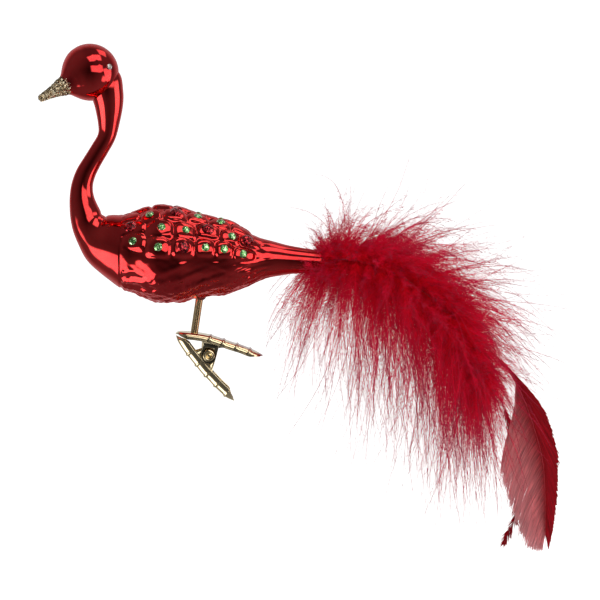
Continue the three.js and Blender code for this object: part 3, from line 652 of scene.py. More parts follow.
def cut_stone(rng, place, out, radius, sides):
    """A round stone with a table, star and kite facets, a thin girdle and a seat of foil."""
    side = unit(np.cross(out, rng.normal(0, 1, 3)))
    up = np.cross(out, side)
    step = math.pi / sides

    def ring(size, height, offset):
        turn = np.arange(sides) * 2 * step + offset
        flat = np.cos(turn)[:, None] * side + np.sin(turn)[:, None] * up
        return place + flat * size * radius + out * height * radius

    table, shoulder = ring(0.55, 0.4, 0), ring(0.8, 0.25, step)
    girdle_a, girdle_b = ring(1, 0.03, 0), ring(1, 0.03, step)
    foot_a, foot_b = ring(0.93, -0.3, 0), ring(0.93, -0.3, step)
    top, back = place + out * 0.4 * radius, place - out * 0.3 * radius
    points = np.vstack([table, shoulder, girdle_a, girdle_b, foot_a, foot_b, [top, back]])
    n = sides
    faces = []
    for i in range(n):
        j = (i + 1) % n
        ta, tb, s, p = i, j, n + i, n + (i - 1) % n
        ga, gb, gn = 2 * n + i, 3 * n + i, 2 * n + j
        fa, fb, fn = 4 * n + i, 5 * n + i, 4 * n + j
        faces += [(6 * n, ta, tb), (ta, s, tb), (s, ga, gb), (s, gb, gn), (ta, p, ga), (ta, ga, s)]
        faces += [(ga, fa, gb), (fa, fb, gb), (gb, fb, gn), (fb, fn, gn)]
        faces += [(6 * n + 1, fb, fa), (6 * n + 1, fn, fb)]
    return points, np.array(faces)


# How the nodes' names start, a name for the kind of stone, and the number of sides
STONE_KINDS = (
    ("green_crystal", "green_crystal", 8),
    ("red_crystal", "dark_red_crystal", 6),
    ("eye_crystal", "clear_crystal", 8),
)


def stones(*looks):
    """Each stone, a piece of its own, in the place of its CAD solid."""
    rng = np.random.default_rng(5)
    for (start, slot, sides), look_of_kind in zip(STONE_KINDS, looks):
        for node in sorted(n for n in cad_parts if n.startswith(start)):
            points, faces = cut_stone(rng, *seat_of(node), sides)
            piece = new_piece("cut_" + node, points, faces, look_of_kind, smooth=False, closed=True)
            place_piece(piece, [node])


# ---- clip

# The jaws' outer faces in X and Z, as in the CAD model, in millimetres from the twig between them
UPPER_LINE = [
    (-8.05, 4.1), (-7.5, 4.7), (-6.3, 5.02), (-2.6, 4.8), (0.7, 4.4), (4, 3.8), (8.6, 2.4), (13.2, 0.8),
    (17.3, -0.5), (21.6, -2.3), (25, -4.1),
]
LOWER_LINE = [
    (-7.75, 3.6), (-7.4, 2.3), (-6.7, 0.85), (-4.5, -2.5), (-2.2, -5.4), (0.1, -8.3), (2.4, -11.1),
    (4.6, -13.3), (6.8, -15.7), (9.1, -17.9), (11.4, -19.9), (14.2, -21.2),
]
CLIP_WIDTH = 10
LOWER_WIDTH = 8
SHEET = 0.5
RIB_PITCH = 5.3
RIB_HEIGHT = 0.42
RIB_WIDTH = 0.45
JAW_ROWS = 190
JAW_COLUMNS = 61
FLAT_SHARE, ROLLED_SHARE = 0.4, 0.85  # how far across a jaw its flat middle goes, and its rolled corner
EAR_RADIUS = 3.2
EAR_BORE = 1.75
EAR_EDGE = 0.12  # how far an ear's edges are softened

rivet_low, rivet_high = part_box("clip_pivot_rivet")
PIVOT = np.array([(rivet_low.x + rivet_high.x) / 2, 0, (rivet_low.z + rivet_high.z) / 2]) / MM


def jaw_sheet(line, width, depth, inward, rib_places):
    """The outer face of a stamped jaw, with round ends, rolled edges and pressed ribs, and its inner face."""
    line = [(x, 0, z) for x, z in line]
    ends = 0.5 - 0.5 * np.cos(np.linspace(0, math.pi, JAW_ROWS))
    parts = 0.35 * ends + 0.65 * np.linspace(0, 1, JAW_ROWS)
    place, along = path_at(line, parts)
    dense, _ = path_at(line, np.linspace(0, 1, 400))
    length = np.linalg.norm(np.diff(dense, axis=0), axis=1).sum()
    outward = beside(along) * inward
    t = parts * length
    near_end, round_end = np.minimum(t, length - t), width / 2
    half = np.sqrt((round_end**2 - np.maximum(round_end - near_end, 0) ** 2).clip(0)).clip(0.02)
    drop = depth * smooth_step(-0.6, 5.5, near_end) + 0.5 * smooth_step(0, 1.2, near_end)
    corner = np.minimum(0.8 * depth, half * 0.6)
    low = np.minimum(corner, drop)
    ribs = sum(RIB_HEIGHT * np.exp(-(((t - r) / RIB_WIDTH) ** 2)) for r in rib_places)
    skins = []
    for inset in (0, SHEET):
        columns = []
        for c in np.linspace(-1, 1, JAW_COLUMNS):
            share = abs(c)
            rib = ribs * (1 if share < 0.9 else 0.3)
            if share < FLAT_SHARE:
                y, down, lean = (half - corner) * share / FLAT_SHARE, 0, 0
            elif share < ROLLED_SHARE:
                lean = (share - FLAT_SHARE) / (ROLLED_SHARE - FLAT_SHARE) * math.pi / 2
                y, down = half - corner * (1 - math.sin(lean)), low * (1 - math.cos(lean))
            else:
                side_drop = (share - ROLLED_SHARE) / (1 - ROLLED_SHARE) * np.maximum(drop - low, 0.05)
                y, down, lean = half + 0.12 * side_drop, low + side_drop, math.pi / 2
            crown = 0.22 * (1 - np.minimum(y / round_end, 1) ** 2)
            points = place + outward * (crown - down + (rib - inset) * math.cos(lean))[:, None]
            points[:, 1] += math.copysign(1, c) * np.maximum(y + (rib * 0.45 - inset) * math.sin(lean), 0.01)
            columns.append(points)
        skins.append(np.stack(columns, 1))
    return skins


def closed_sheet(outer, inner):
    """A sheet with thickness from its outer and inner grids."""
    rows, columns = outer.shape[:2]
    count = rows * columns
    faces = grid_faces(rows, columns, around=False)
    at = np.arange(count).reshape(rows, columns)
    rim = np.concatenate([at[0], at[1:, -1], at[-1, -2::-1], at[-2:0:-1, 0]])
    after = np.roll(rim, -1)
    edge = np.stack([rim, rim + count, after + count, after], 1)
    points = np.vstack([outer.reshape(-1, 3), inner.reshape(-1, 3)])
    return points, np.vstack([faces, faces[:, ::-1] + count, edge])


def ear_plate(root_a, root_b, y):
    """A pressed ear: it hangs from two roots, rounds the pivot, and has the rivet's hole."""
    hub = PIVOT[[0, 2]]
    start = math.atan2(root_a[1] - hub[1], root_a[0] - hub[0]) + math.pi / 2
    end = math.atan2(root_b[1] - hub[1], root_b[0] - hub[0]) - math.pi / 2
    if end < start:
        end += 2 * math.pi
    turn = np.linspace(start, end, 40)
    arc = hub + EAR_RADIUS * np.stack([np.cos(turn), np.sin(turn)], 1)
    loop = np.vstack([root_a, arc, root_b, root_a])
    total = np.concatenate([[0], np.cumsum(np.linalg.norm(np.diff(loop, axis=0), axis=1))])
    parts = np.linspace(0, total[-1], 96, endpoint=False)
    outline = np.stack([np.interp(parts, total, loop[:, k]) for k in (0, 1)], 1)
    out = unit(outline - hub)
    hole, soft, face = hub + out * EAR_BORE, outline - out * EAR_EDGE, SHEET / 2
    layers = [
        (hole, face), (soft, face), (outline, face - EAR_EDGE), (outline, EAR_EDGE - face), (soft, -face),
        (hole, -face), (hole, face),
    ]
    grid = np.array([np.insert(ring, 1, y + at, axis=1) for ring, at in layers])
    return grid.reshape(-1, 3), grid_faces(*grid.shape[:2])


def jaw(name, node, line, width, depth, inward, ribs, ear_roots, body, sheet_look, ear_look):
    points, faces = closed_sheet(*jaw_sheet(line, width, depth, inward, ribs))
    place_piece(new_piece(name, points, faces, sheet_look, closed=True), [node], body)
    reach = width / 2 - SHEET / 2 - 0.06
    points, faces = joined([ear_plate(*ear_roots, side * reach) for side in (-1, 1)])
    place_piece(new_piece(name + "_ears", points, faces, ear_look, closed=True), (), body)


def rivet(material):
    half = (rivet_high.y - rivet_low.y) / 2 / MM
    side = [
        (0, half - 0.8), (0.55, half - 0.9), (1.0, half - 1.3), (1.12, half - 0.6), (1.28, half - 0.1),
        (1.7, half), (2.1, half - 0.12), (2.2, half - 0.36), (2.05, half - 0.52), (1.62, half - 0.56),
        (1.6, half - 0.9),
    ]
    side = rounded(side, 5)
    profile = np.vstack([side, side[::-1] * [1, -1]])
    piece = grid_piece("rivet_eyelet", turned_surface(profile, PIVOT, [0, 1, 0], 72), material)
    return place_piece(piece, ["clip_pivot_rivet"])


COIL_TURNS = 4.5
COIL_START = math.radians(70)
COIL_RADIUS = 2.5
COIL_SIDE_ROOM = 0.42
WIRE_RADIUS = 0.38


def spring(material):
    """The coil on the rivet; one leg lies under each finger lever."""
    low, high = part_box("clip_torsion_spring")
    half = (high.y - low.y) / 2 / MM - COIL_SIDE_ROOM
    points = [(15.2, -half, -1.75), (10, -half, -0.55)]
    for part in np.arange(COIL_TURNS * 14 + 1) / (COIL_TURNS * 14):
        angle = COIL_START + COIL_TURNS * 2 * math.pi * part
        coil = COIL_RADIUS * np.array([math.cos(angle), 0, math.sin(angle)])
        points.append(PIVOT + coil + np.array([0, -half + 2 * half * part, 0]))
    points += [(5.4, half, -9.4), (8.6, half, -15.2)]
    path, _ = path_at(points, np.linspace(0, 1, 420), fine=2400)
    tube, faces = swept_tube(path, WIRE_RADIUS, 12)
    piece = new_piece("spring_wire", tube, faces, material, closed=True)
    place_piece(piece, ["clip_torsion_spring"], None)
    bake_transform(piece)


POST_LEAN = math.radians(8.6)
POST_RADIUS = 1.45
POST_WALL = 0.4
SEAM_AT = 0.25  # radians from the side that faces the viewer
SEAM_HALF = 0.13  # half the seam's width
SEAM_LIP = 0.1  # how far the sheet turns in at the seam


def post(material, glue):
    """A tube rolled from sheet, with its seam along it, glued into the belly and opened out under the jaw."""
    low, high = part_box("clip_post")
    axis = np.array([math.sin(POST_LEAN), 0, math.cos(POST_LEAN)])
    foot = np.array([-1.2, 0, low.z / MM + 0.35])
    length = (high.z / MM - foot[2]) / axis[2]
    side, near = np.array([axis[2], 0, -axis[0]]), np.array([0, -1, 0])
    gap = SEAM_HALF / POST_RADIUS
    turn = np.linspace(SEAM_AT + gap, SEAM_AT + 2 * math.pi - gap, 70)
    d = np.concatenate([np.linspace(0, 1.1, 8), np.linspace(1.4, length, 40)])
    flare = 0.85 * (1 - smooth_step(0, 0.9, d))

    def skin(inset, lip):
        roll = np.interp(np.arange(70), [0, 3, 66, 69], [lip, 0, 0, lip])
        size = POST_RADIUS - inset + flare[:, None] - roll[None, :]
        spoke = np.cos(turn)[:, None] * near + np.sin(turn)[:, None] * side
        return foot + d[:, None, None] * axis + size[..., None] * spoke

    points, faces = closed_sheet(skin(0, SEAM_LIP), skin(POST_WALL, 0))
    place_piece(new_piece("rolled_post", points, faces, material, closed=True), ["clip_post"])
    start = (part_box("post_glue_bead")[0].z / MM - foot[2]) / axis[2]
    profile = rounded([
        (1.35, start - 0.3), (1.7, start), (2.2, start + 0.6), (2.4, start + 1.5), (1.35, start + 2),
    ])
    grid = turned_surface(profile, foot, axis, 60)
    lobes = 3 * np.linspace(0, 2 * math.pi, 60, endpoint=False) + np.random.default_rng(9).uniform(0, 6)
    centre = foot + profile[:, 1, None, None] * axis
    grid = centre + (grid - centre) * (1 + 0.09 * np.sin(lobes))[None, :, None]
    place_piece(grid_piece("post_glue", grid, glue, closed=False), ["post_glue_bead"])


# ---- feathers

PLUME_SPREAD = 9
QUILLS = 5
QUILL_RING = 1.95
PLUG_LENGTH = 9
LANE = PLUME_SPREAD / 2
BEHIND = 3.2


def feather_path(index, places):
    """Straight out of the glue and then through places given from the tube's end."""
    angle = math.pi / 2 + index * 2 * math.pi / QUILLS
    seat = TUBE_END + np.array([0, QUILL_RING * math.cos(angle), QUILL_RING * math.sin(angle)])
    points = [seat + np.array([-PLUG_LENGTH * 0.8, 0, 0]), seat + np.array([1.5, 0, 0])]
    return np.array(points + [TUBE_END + np.array(p, float) for p in places])


def plume_path(index, spread, lift):
    return feather_path(index, [
        (14, spread * 0.55, 0.6 + lift), (32, spread * 0.9, -6 + lift * 1.8), (50, spread, -22 + lift * 2),
        (62, spread, -46 + lift * 2),
    ])


LONG_PATH = feather_path(3, [
    (14, LANE * 0.55, -1.6), (32, LANE * 0.9, -8), (56, LANE, -26), (70, 1, -40), (75, 0, -48), (80, 0, -60),
    (84.5, 0, -76), (85.6, 0, -92), (85.8, 0, -111),
])
NARROW_PATH = feather_path(2, [
    (14, -LANE * 0.55, -1.6), (32, -LANE * 0.9, -8), (50, -LANE, -25), (64, -1, -44), (71, BEHIND, -60),
    (75.5, BEHIND, -80), (75, BEHIND, -96), (70, BEHIND, -108.5),
])
OUTER_EDGE = [
    (76, -45.5), (79.5, -49.4), (84.4, -55.9), (87.4, -63.1), (89.7, -72.6), (90, -80), (89.8, -89),
    (88.6, -101), (86.9, -110),
]
INNER_EDGE = [
    (74.3, -53), (73.6, -64.6), (69.3, -74.9), (69.8, -83.4), (73.1, -93.9), (75, -99), (78.3, -107),
    (80.6, -109.4), (84.6, -110.5),
]


def grow(rng, root, heading, length, steps, droop, curl, kink=0.0):
    """Barbs that grow from their roots: each heads its own way, bends down under its weight and wanders."""
    count = len(root)
    paths = np.zeros((count, steps, 3))
    paths[:, 0] = root
    heading = unit(heading)
    wander = rng.normal(0, 1, (count, 3))
    step = (length / (steps - 1))[:, None]
    for k in range(1, steps):
        part = k / (steps - 1)
        wander = unit(wander + rng.normal(0, 0.35, (count, 3)))
        bend = np.array([0, 0, -1.0]) * (droop * (0.35 + part))[:, None]
        heading = unit(heading + bend / steps * 2 + wander * (curl * (0.5 + part))[:, None] / steps * 2
                       + kink * rng.normal(0, 1, (count, 3)))
        paths[:, k] = paths[:, k - 1] + heading * step
    return paths


def strips(paths, side, half, column):
    """Flat strips along the paths; the UV is (the strip's column, part of its length)."""
    count, steps = paths.shape[:2]
    points = np.stack([paths - side * half, paths + side * half], 2)
    uv = np.zeros((count, steps, 2, 2))
    uv[..., 0] = column[:, None, None]
    uv[..., 1] = np.linspace(0.02, 0.98, steps)[None, :, None]
    base = (np.arange(count) * steps * 2)[:, None] + np.arange(steps - 1)[None] * 2
    quads = np.stack([base, base + 1, base + 3, base + 2], -1).reshape(-1, 4)
    return points.reshape(-1, 3), quads, uv.reshape(-1, 2)


def ribbons(rng, paths, width):
    """Thin tapering strips along the paths, each turned its own way, and their columns in the UV."""
    count, steps = paths.shape[:2]
    along = unit(np.gradient(paths, axis=1))
    face = unit(rng.normal(0, 1, (count, 1, 3)) + rng.normal(0, 0.05, (count, steps, 3)).cumsum(1))
    taper = (1 - 0.75 * np.linspace(0, 1, steps) ** 2)[None, :, None] * width.reshape(-1, 1, 1) / 2
    column = rng.uniform(0, 1, count)
    return strips(paths, unit(np.cross(along, face)), taper, column), column


def barbules(rng, paths, column, each, length, width, fading):
    """The fine hairs on both sides of every barb: slivers that lean, shorten and thin out towards its tip."""
    count, steps = paths.shape[:2]
    part = 0.03 + 0.94 * rng.uniform(0, 1, (count, each)) ** fading
    at = part * (steps - 1)
    low = np.clip(at.astype(int), 0, steps - 2)
    share = (at - low)[..., None]
    rows = np.arange(count)[:, None]
    place = paths[rows, low] * (1 - share) + paths[rows, low + 1] * share
    along = unit(paths[rows, low + 1] - paths[rows, low])
    out = unit(np.cross(along, rng.normal(0, 1, (count, each, 3))))
    heading = unit(out + along * rng.uniform(0.45, 1.1, (count, each, 1)))
    size = length * rng.uniform(0.5, 1.15, (count, each, 1)) * (1.05 - 0.85 * part[..., None])
    flat = unit(np.cross(heading, rng.normal(0, 1, (count, each, 3)))) * width / 2
    tip = place + heading * size + np.array([0, 0, -0.12]) * size
    points = np.stack([place - flat, place + flat, place + heading * size * 0.55 + flat * 0.8, tip], 2)
    uv = np.zeros((count, each, 4, 2))
    uv[..., 0] = column[:, None, None]
    uv[..., 1] = np.clip(part[..., None] * 0.9 + np.array([0, 0, 0.04, 0.08]), 0.02, 0.98)
    base = np.arange(count * each)[:, None] * 4
    return points.reshape(-1, 3), base + np.arange(4), uv.reshape(-1, 2)


def strand_piece(name, groups, material):
    points, faces = joined([(p, f) for p, f, _ in groups])
    return new_piece(name, points, faces, material, smooth=False, uvs=np.vstack([uv for _, _, uv in groups]))


def down_piece(rng, name, paths, width, hairs, material, replaced=()):
    """Barbs along the paths with the fine hairs on them."""
    flat, column = ribbons(rng, paths, width)
    fine = barbules(rng, paths, column, *hairs)
    place_piece(strand_piece(name, [flat, fine], material), replaced)


def shaft(name, node, path, end, rows, sides, stations, radii, material):
    """A feather's shaft up to a part of its path, with its radius at stations along it."""
    place, _ = path_at(path, np.linspace(0, end, rows))
    tube, faces = swept_tube(place, np.interp(np.linspace(0, 1, rows), stations, radii), sides)
    place_piece(new_piece(name, tube, faces, material, closed=True), [node])


# How the barbs under and over a quill grow: parts of the plume, degrees from its own line, and millimetres
UNDER = [0, 0.08, 0.2, 0.4, 0.65, 0.85, 1], [150, 118, 72, 48, 36, 26, 12], [60, 78, 96, 102, 94, 76, 56]
OVER = [0, 0.08, 0.2, 0.45, 0.7, 0.88, 1], [105, 74, 54, 44, 40, 32, 14], [18, 34, 52, 60, 56, 46, 36]
TUFTS = 110  # barbs lean together in so many tufts on each side of a quill
FLUFF_SHARE = 0.36  # part of the barbs that stay short and downy
DOWN_END = 96  # how far the barbs go past the tube's end
DOWN_BACK = 21  # and how far back under the tube, so that they hang clear of the clip
DOWN_REACH = 24  # no barb goes much further than this to either side of the bird


def plume_barbs(rng, path, count, under):
    """The barbs on one side of a plume's quill, and how downy each is."""
    parts, angles, lengths = UNDER if under else OVER
    part = rng.uniform(0, 1, count) ** 1.05
    place, along = path_at(path, 0.085 + 0.9 * part)
    tuft = np.clip((part * TUFTS + rng.normal(0, 0.7, count)).astype(int), 0, TUFTS - 1)
    lean = rng.normal(0, 10, TUFTS)[tuft] + rng.normal(0, 6, count)
    angle = np.radians(np.interp(part, parts, angles) + lean) * (-1 if under else 1)
    heading = along * np.cos(angle)[:, None] + beside(along) * np.sin(angle)[:, None]
    heading[:, 1] += rng.normal(0, 0.25, TUFTS)[tuft] + rng.normal(0, 0.12, count)
    downy = rng.uniform(0, 1, count) < FLUFF_SHARE
    share = np.where(downy, rng.uniform(0.1, 0.38, count), 0.3 + 0.72 * rng.beta(1.5, 1.6, count))
    heading[:, 1] += np.where(downy, rng.normal(0, 0.5, count), 0)
    length = np.interp(part, parts, lengths) * share * rng.uniform(0.8, 1.12, TUFTS)[tuft]
    droop = (rng.uniform(0.5, 1.3, TUFTS) if under else rng.uniform(0.1, 1.1, TUFTS))[tuft]
    curl = rng.uniform(0.2, 0.8, count) + downy
    paths = grow(rng, place + rng.normal(0, 0.25, (count, 3)), heading, length, 20, droop, curl)
    paths[..., 1] = DOWN_REACH * np.tanh(paths[..., 1] / DOWN_REACH)
    ahead = np.maximum(paths[..., 0].max(1) - paths[:, 0, 0], 1)
    behind = np.maximum(paths[:, 0, 0] - paths[..., 0].min(1), 1)
    past = paths[:, 0, 0] - TUBE_END[0]
    shrink = np.minimum(np.minimum((DOWN_END - past) / ahead, (DOWN_BACK + past) / behind), 1)
    return paths[:, :1] + (paths - paths[:, :1]) * shrink[:, None, None], downy


def plume(place, index, spread, lift, material, horn, seed):
    rng = np.random.default_rng(seed)
    path = plume_path(index, spread, lift)
    under, under_downy = plume_barbs(rng, path, 800, True)
    over, over_downy = plume_barbs(rng, path, 460, False)
    paths = np.concatenate([under, over])
    downy = np.concatenate([under_downy, over_downy])
    name, node = place + "_down", "plume_" + place
    width = rng.uniform(0.1, 0.1, downy.sum())
    down_piece(rng, name + "_fluff", paths[downy], width, (104, 3.6, 0.045, 1.0), material)
    width = rng.uniform(0.15, 0.25, (~downy).sum())
    down_piece(rng, name + "_barbs", paths[~downy], width, (96, 3.2, 0.03, 1.5), material, [node + "_down"])
    shaft(name + "_shaft", node + "_quill", path, 0.93, 90, 8, [0, 1], [0.3, 0.06], horn)


def tube_wisps(material):
    """Short curling wisps where the plumes leave the tube, some of them back over the glass."""
    rng = np.random.default_rng(33)
    count = 150
    root = TUBE_END + np.stack([
        rng.uniform(0.2, 6, count), rng.normal(0, 2, count), rng.uniform(-2.5, 3, count),
    ], 1)
    angle = np.radians(rng.uniform(35, 190, count))
    heading = np.stack([np.cos(angle), rng.normal(0, 0.45, count), np.sin(angle)], 1)
    length = rng.uniform(5, 15, count)
    length = np.where(rng.uniform(0, 1, count) < 0.1, rng.uniform(16, 24, count), length)
    droop, curl = rng.uniform(-0.4, 1.2, count), rng.uniform(0.8, 2.6, count)
    paths = grow(rng, root, heading, length, 16, droop, curl, 0.03)
    down_piece(rng, "tube_wisps", paths, rng.uniform(0.1, 0.18, count), (60, 1.4, 0.04, 1.6), material)


def web(name, node, path, start, end, edge, count, width, slant, material, seed, loose):
    """One web of a stiff feather: barbs side by side from the shaft to the web's edge."""
    rng = np.random.default_rng(seed)
    part = np.linspace(0, 1, count)
    root, along = path_at(path, start - 0.04 + (end - start) * part**1.25)
    outline = np.array([TUBE_END + np.array([x, 0, z]) for x, z in edge])
    tip, _ = path_at(outline, part**slant)
    tip[:, 1] = root[:, 1] + rng.normal(0, 0.12 + loose, count)
    tip = tip + (tip - root) * rng.normal(0, 0.03 + 0.05 * loose, count)[:, None]
    gather = np.cumsum(rng.normal(0, 0.25 * loose, count))
    gather = gather - np.linspace(gather[0], gather[-1], count)
    tip = tip + along * gather[:, None] * 0.5
    t = np.linspace(0, 1, 12)[None, :, None]
    bow = along * (np.linalg.norm(tip - root, axis=1) * 0.16)[:, None]
    middle = (root + tip) / 2 - bow
    paths = (1 - t) ** 2 * root[:, None] + 2 * t * (1 - t) * middle[:, None] + t**2 * tip[:, None]
    paths = paths + rng.normal(0, 0.03, paths.shape) * t
    flat = unit(np.gradient(paths, axis=1))
    side = unit(np.cross(flat, [0, 1.0, 0]) + rng.normal(0, 0.12, (count, 1, 3)))
    taper = width / 2 * (1 - 0.45 * t**2) * rng.uniform(0.8, 1.15, (count, 1, 1))
    column = rng.uniform(0, 1, count)
    fine = barbules(rng, paths, column, 14, 0.7, 0.05, 1.0)
    place_piece(strand_piece(name, [strips(paths, side, taper, column), fine], material), [node])


def narrow_feather(material):
    """The narrow feather behind the long one: short barbs on both sides of its shaft."""
    rng = np.random.default_rng(71)
    count = 420
    part = rng.uniform(0, 1, count)
    root, along = path_at(NARROW_PATH, 0.66 + 0.34 * part)
    side = beside(along) * rng.choice([-1, 1], count)[:, None]
    heading = along + side * rng.uniform(0.25, 0.5, count)[:, None]
    heading[:, 1] += rng.normal(0, 0.05, count)
    length = rng.uniform(3, 5.2, count) * np.interp(part, [0, 0.2, 0.9, 1], [0.7, 1, 0.9, 0.5])
    root[:, 1] += 0.3
    paths = grow(rng, root, heading, length, 8, np.zeros(count), np.full(count, 0.1))
    flat, _ = ribbons(rng, paths, np.full(count, 0.45))
    place_piece(strand_piece("narrow_vane_barbs", [flat], material), ["narrow_feather_vane"])


# ---- studio

AIM_OFFSET = (0.3, 0, -0.5)  # millimetres from the middle of the CAD box
CAMERA_LIFT = math.radians(5)
CAMERA_AWAY = 1.9
CAMERA_LENS = 300
FLOOR_BELOW = 0.045
FLOOR_REACH = 30
PANEL_FADE = 0.16  # part of a panel's width over which its light fades in
PANEL_AWAY = 0.9
PANEL_AIM = Vector((0, 0, 0.04))
# Name, degrees to the right of and above the way to the viewer, width, height, radiance
PANELS = [
    ("right_panel", 77, -5, 0.8, 0.9, 1.95), ("front_panel", 28, 20, 1.0, 0.5, 1.75),
    ("left_panel", -62, -31, 0.85, 0.85, 2.5), ("front_top_panel", 30, 64, 0.9, 0.45, 1.8),
    ("high_panel", 125, 58, 0.45, 0.4, 1.4),
]
ROOM_LIGHT = [(0.0, 0.2), (0.3, 0.09), (0.5, 0.035), (0.62, 0.03), (1.0, 0.14)]  # by height, floor to ceiling
# Where a wall's light starts and is full, as a part of the way out, and the light added at each
BACK_WALL = (0.3, 0.95, 0.0, 0.6)
SIDE_WALLS = (0.15, 1.0, 0.0, 0.13)


def hang(name, data, place, way):
    """Put a camera or a light at a place, facing a way."""
    thing = bpy.data.objects.new(name, data)
    thing.location = place
    thing.rotation_mode = "QUATERNION"
    thing.rotation_quaternion = way.to_track_quat("-Z", "Y")
    bpy.context.scene.collection.objects.link(thing)
    return thing


def studio_camera():
    low, high = (np.array(corner) for corner in CAD_BOX)
    aim = Vector((low + high) / 2 + np.array(AIM_OFFSET) * MM)
    aim.y = 0
    ahead = Vector((0, math.cos(CAMERA_LIFT), -math.sin(CAMERA_LIFT)))
    data = bpy.data.cameras.new("camera")
    data.lens = CAMERA_LENS
    data.sensor_width = 36
    data.clip_start, data.clip_end = 0.05, 80
    bpy.context.scene.camera = hang("camera", data, aim - ahead * CAMERA_AWAY, ahead)


def studio_panel(name, azimuth, elevation, width, height, radiance):
    """A soft panel light aimed at the bird, whose light fades out towards its edges."""
    a, e = math.radians(azimuth), math.radians(elevation)
    way = Vector((math.sin(a) * math.cos(e), -math.cos(a) * math.cos(e), math.sin(e)))
    data = bpy.data.lights.new(name, "AREA")
    data.shape = "RECTANGLE"
    data.size, data.size_y = width, height
    data.energy = radiance * math.pi * width * height
    data.color = (1, 0.96, 0.9)
    m = Nodes(data, "Emission")
    across = m.split(m.add("ShaderNodeNewGeometry").outputs["Parametric"])
    fades = [
        m.value(m.math("PINGPONG", across[axis], 0.5), 0, PANEL_FADE, 0, 1, smooth=True) for axis in "XY"
    ]
    m.to("Strength", m.math("MULTIPLY", *fades))
    hang(name, data, PANEL_AIM + way * PANEL_AWAY, -way).visible_camera = False


def studio_world():
    """A dim room in front of the bird and a bright wall behind it; the viewer sees plain white."""
    m = Nodes(bpy.data.worlds.new("studio"), "Background")
    axes = m.split(m.add("ShaderNodeTexCoord").outputs["Generated"])
    greys = [(height, (grey, grey, grey)) for height, grey in ROOM_LIGHT]
    room = m.ramp(m.value(axes["Z"], -1, 1, 0, 1), greys)
    back = m.value(axes["Y"], *BACK_WALL, smooth=True)
    sides = m.value(m.math("ABSOLUTE", axes["X"]), *SIDE_WALLS)
    total = m.add("ShaderNodeVectorMath")
    m.fill(total.inputs, (room, m.math("ADD", back, sides)))
    seen = m.add("ShaderNodeLightPath").outputs["Is Camera Ray"]
    m.to("Color", m.mix(seen, total.outputs[0], (1, 1, 1)))
    bpy.context.scene.world = m.owner


def studio_floor():
    """A wide pale floor well under the feathers' tips; it is lit evenly, so it shows no edge."""
    reach, z = FLOOR_REACH / MM, (CAD_BOX[0][2] - FLOOR_BELOW) / MM
    points = [(-reach, -reach, z), (reach, -reach, z), (reach, reach, z), (-reach, reach, z)]
    m = look("pale_floor", Emission_Strength=1.0, Specular_IOR_Level=0.0)
    grain = m.noise(0.6, detail=2)
    m.mottle(grain, (0.93, 0.93, 0.93), (0.96, 0.96, 0.96))
    m.to("Emission Color", m.ramp(grain, [(NOISE_LOW, (0.97, 0.97, 0.97)), (NOISE_HIGH, (1, 1, 1))]))
    floor = new_piece("floor", points, [(0, 1, 2, 3)], m.owner)
    for kind in ("diffuse", "glossy", "transmission", "shadow", "volume_scatter"):
        setattr(floor, "visible_" + kind, False)


def studio():
    studio_camera()
    studio_world()
    studio_floor()
    for panel in PANELS:
        studio_panel(*panel)
    view = bpy.context.scene.view_settings
    view.view_transform = "Standard"
    view.look = "None"


# ---- the whole

studio()
glass = red_glass()
glass_body(glass)
glass_head(glass)
beak_glitter(glitter_gold())
# Per kind of stone: its darker and lighter colours, and its painted glint colour
stones(
    crystal("peridot_glass", (0.02, 0.14, 0.03), (0.2, 0.62, 0.16), (0.8, 1.0, 0.68)),
    crystal("siam_glass", (0.03, 0.0, 0.002), (0.3, 0.0, 0.008), (0.85, 0.06, 0.08)),
    crystal("clear_glass", (0.25, 0.23, 0.2), (0.75, 0.74, 0.7), (1.0, 1.0, 1.0)),
)

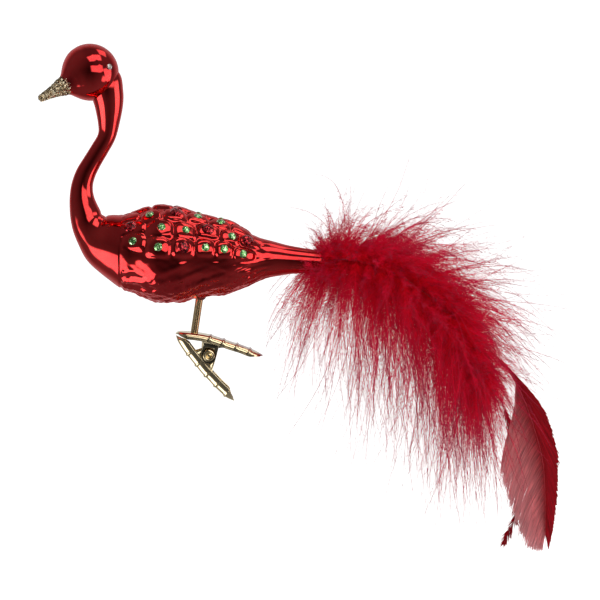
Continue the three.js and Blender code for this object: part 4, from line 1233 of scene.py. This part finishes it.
pale = brass("pale_brass")
# The upper jaw's ears: the same brass painted dark, as painted shade and a painted reflection of the dark
# room
brass_darkened_as_shade = brass("brass_darkened_as_shade", pale=(0.22, 0.19, 0.13), deep=(0.09, 0.075, 0.05))
aged_brass = brass("aged_brass", pale=(0.74, 0.55, 0.3), deep=(0.6, 0.43, 0.22), smooth=0.18, coarse=0.26)
sprayed = brass("sprayed_brass", overspray=True)
jaw("upper_jaw", "clip_upper_jaw", UPPER_LINE, CLIP_WIDTH, 1.9, 1, [13.8 + RIB_PITCH * k for k in range(4)],
    ((PIVOT[0] - 2.6, 2.6), (PIVOT[0] + 4.2, 1.0)), "bird", sprayed, brass_darkened_as_shade)
jaw("lower_jaw", "clip_lower_jaw", LOWER_LINE, LOWER_WIDTH, 2.8, -1, [8.3 + RIB_PITCH * k for k in range(5)],
    ((5.6, -10.6), (-1.6, -2.6)), "lower_jaw", pale, pale)
rivet(pale)
spring(steel())
post(aged_brass, red_glue())

down = feather("dyed_marabou", (1.0, 0.0, 0.03), (1.0, 0.01, 0.09), (0.5, 0.06, 0.13), 0.08, 0.45)
horn = quill_horn()
plume("middle", 0, 0, 2.4, down, horn, 41)
plume("near", 1, -PLUME_SPREAD, 0, down, horn, 42)
plume("far", 4, PLUME_SPREAD, 0.6, down, horn, 43)
tube_wisps(down)
outer_vane = feather("dense_vane", (0.34, 0.0, 0.004), (0.46, 0.0, 0.012), (0.5, 0.0, 0.012), 0.0, 0.12)
inner_vane = feather("thin_vane", (0.6, 0.02, 0.04), (0.95, 0.42, 0.46), (1.0, 0.56, 0.6), 0.1, 0.55)
web("long_outer_barbs", "long_feather_outer_web", LONG_PATH, 0.56, 0.997, OUTER_EDGE, 520, 0.6, 0.62,
    outer_vane, 61, 0.03)
web("long_inner_barbs", "long_feather_inner_web", LONG_PATH, 0.64, 0.997, INNER_EDGE, 520, 0.3, 0.6,
    inner_vane, 62, 0.22)
for kind, path, middle in (("long", LONG_PATH, 0.32), ("narrow", NARROW_PATH, 0.16)):
    shaft(kind + "_shaft", kind + "_feather_quill", path, 0.998, 160, 10,
          [0, 0.45, 1], [0.5, middle, 0.06], horn)
narrow_feather(outer_vane)
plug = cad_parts["tail_glue_plug"].data.materials
plug.clear()
plug.append(bpy.data.materials["red_glue"])
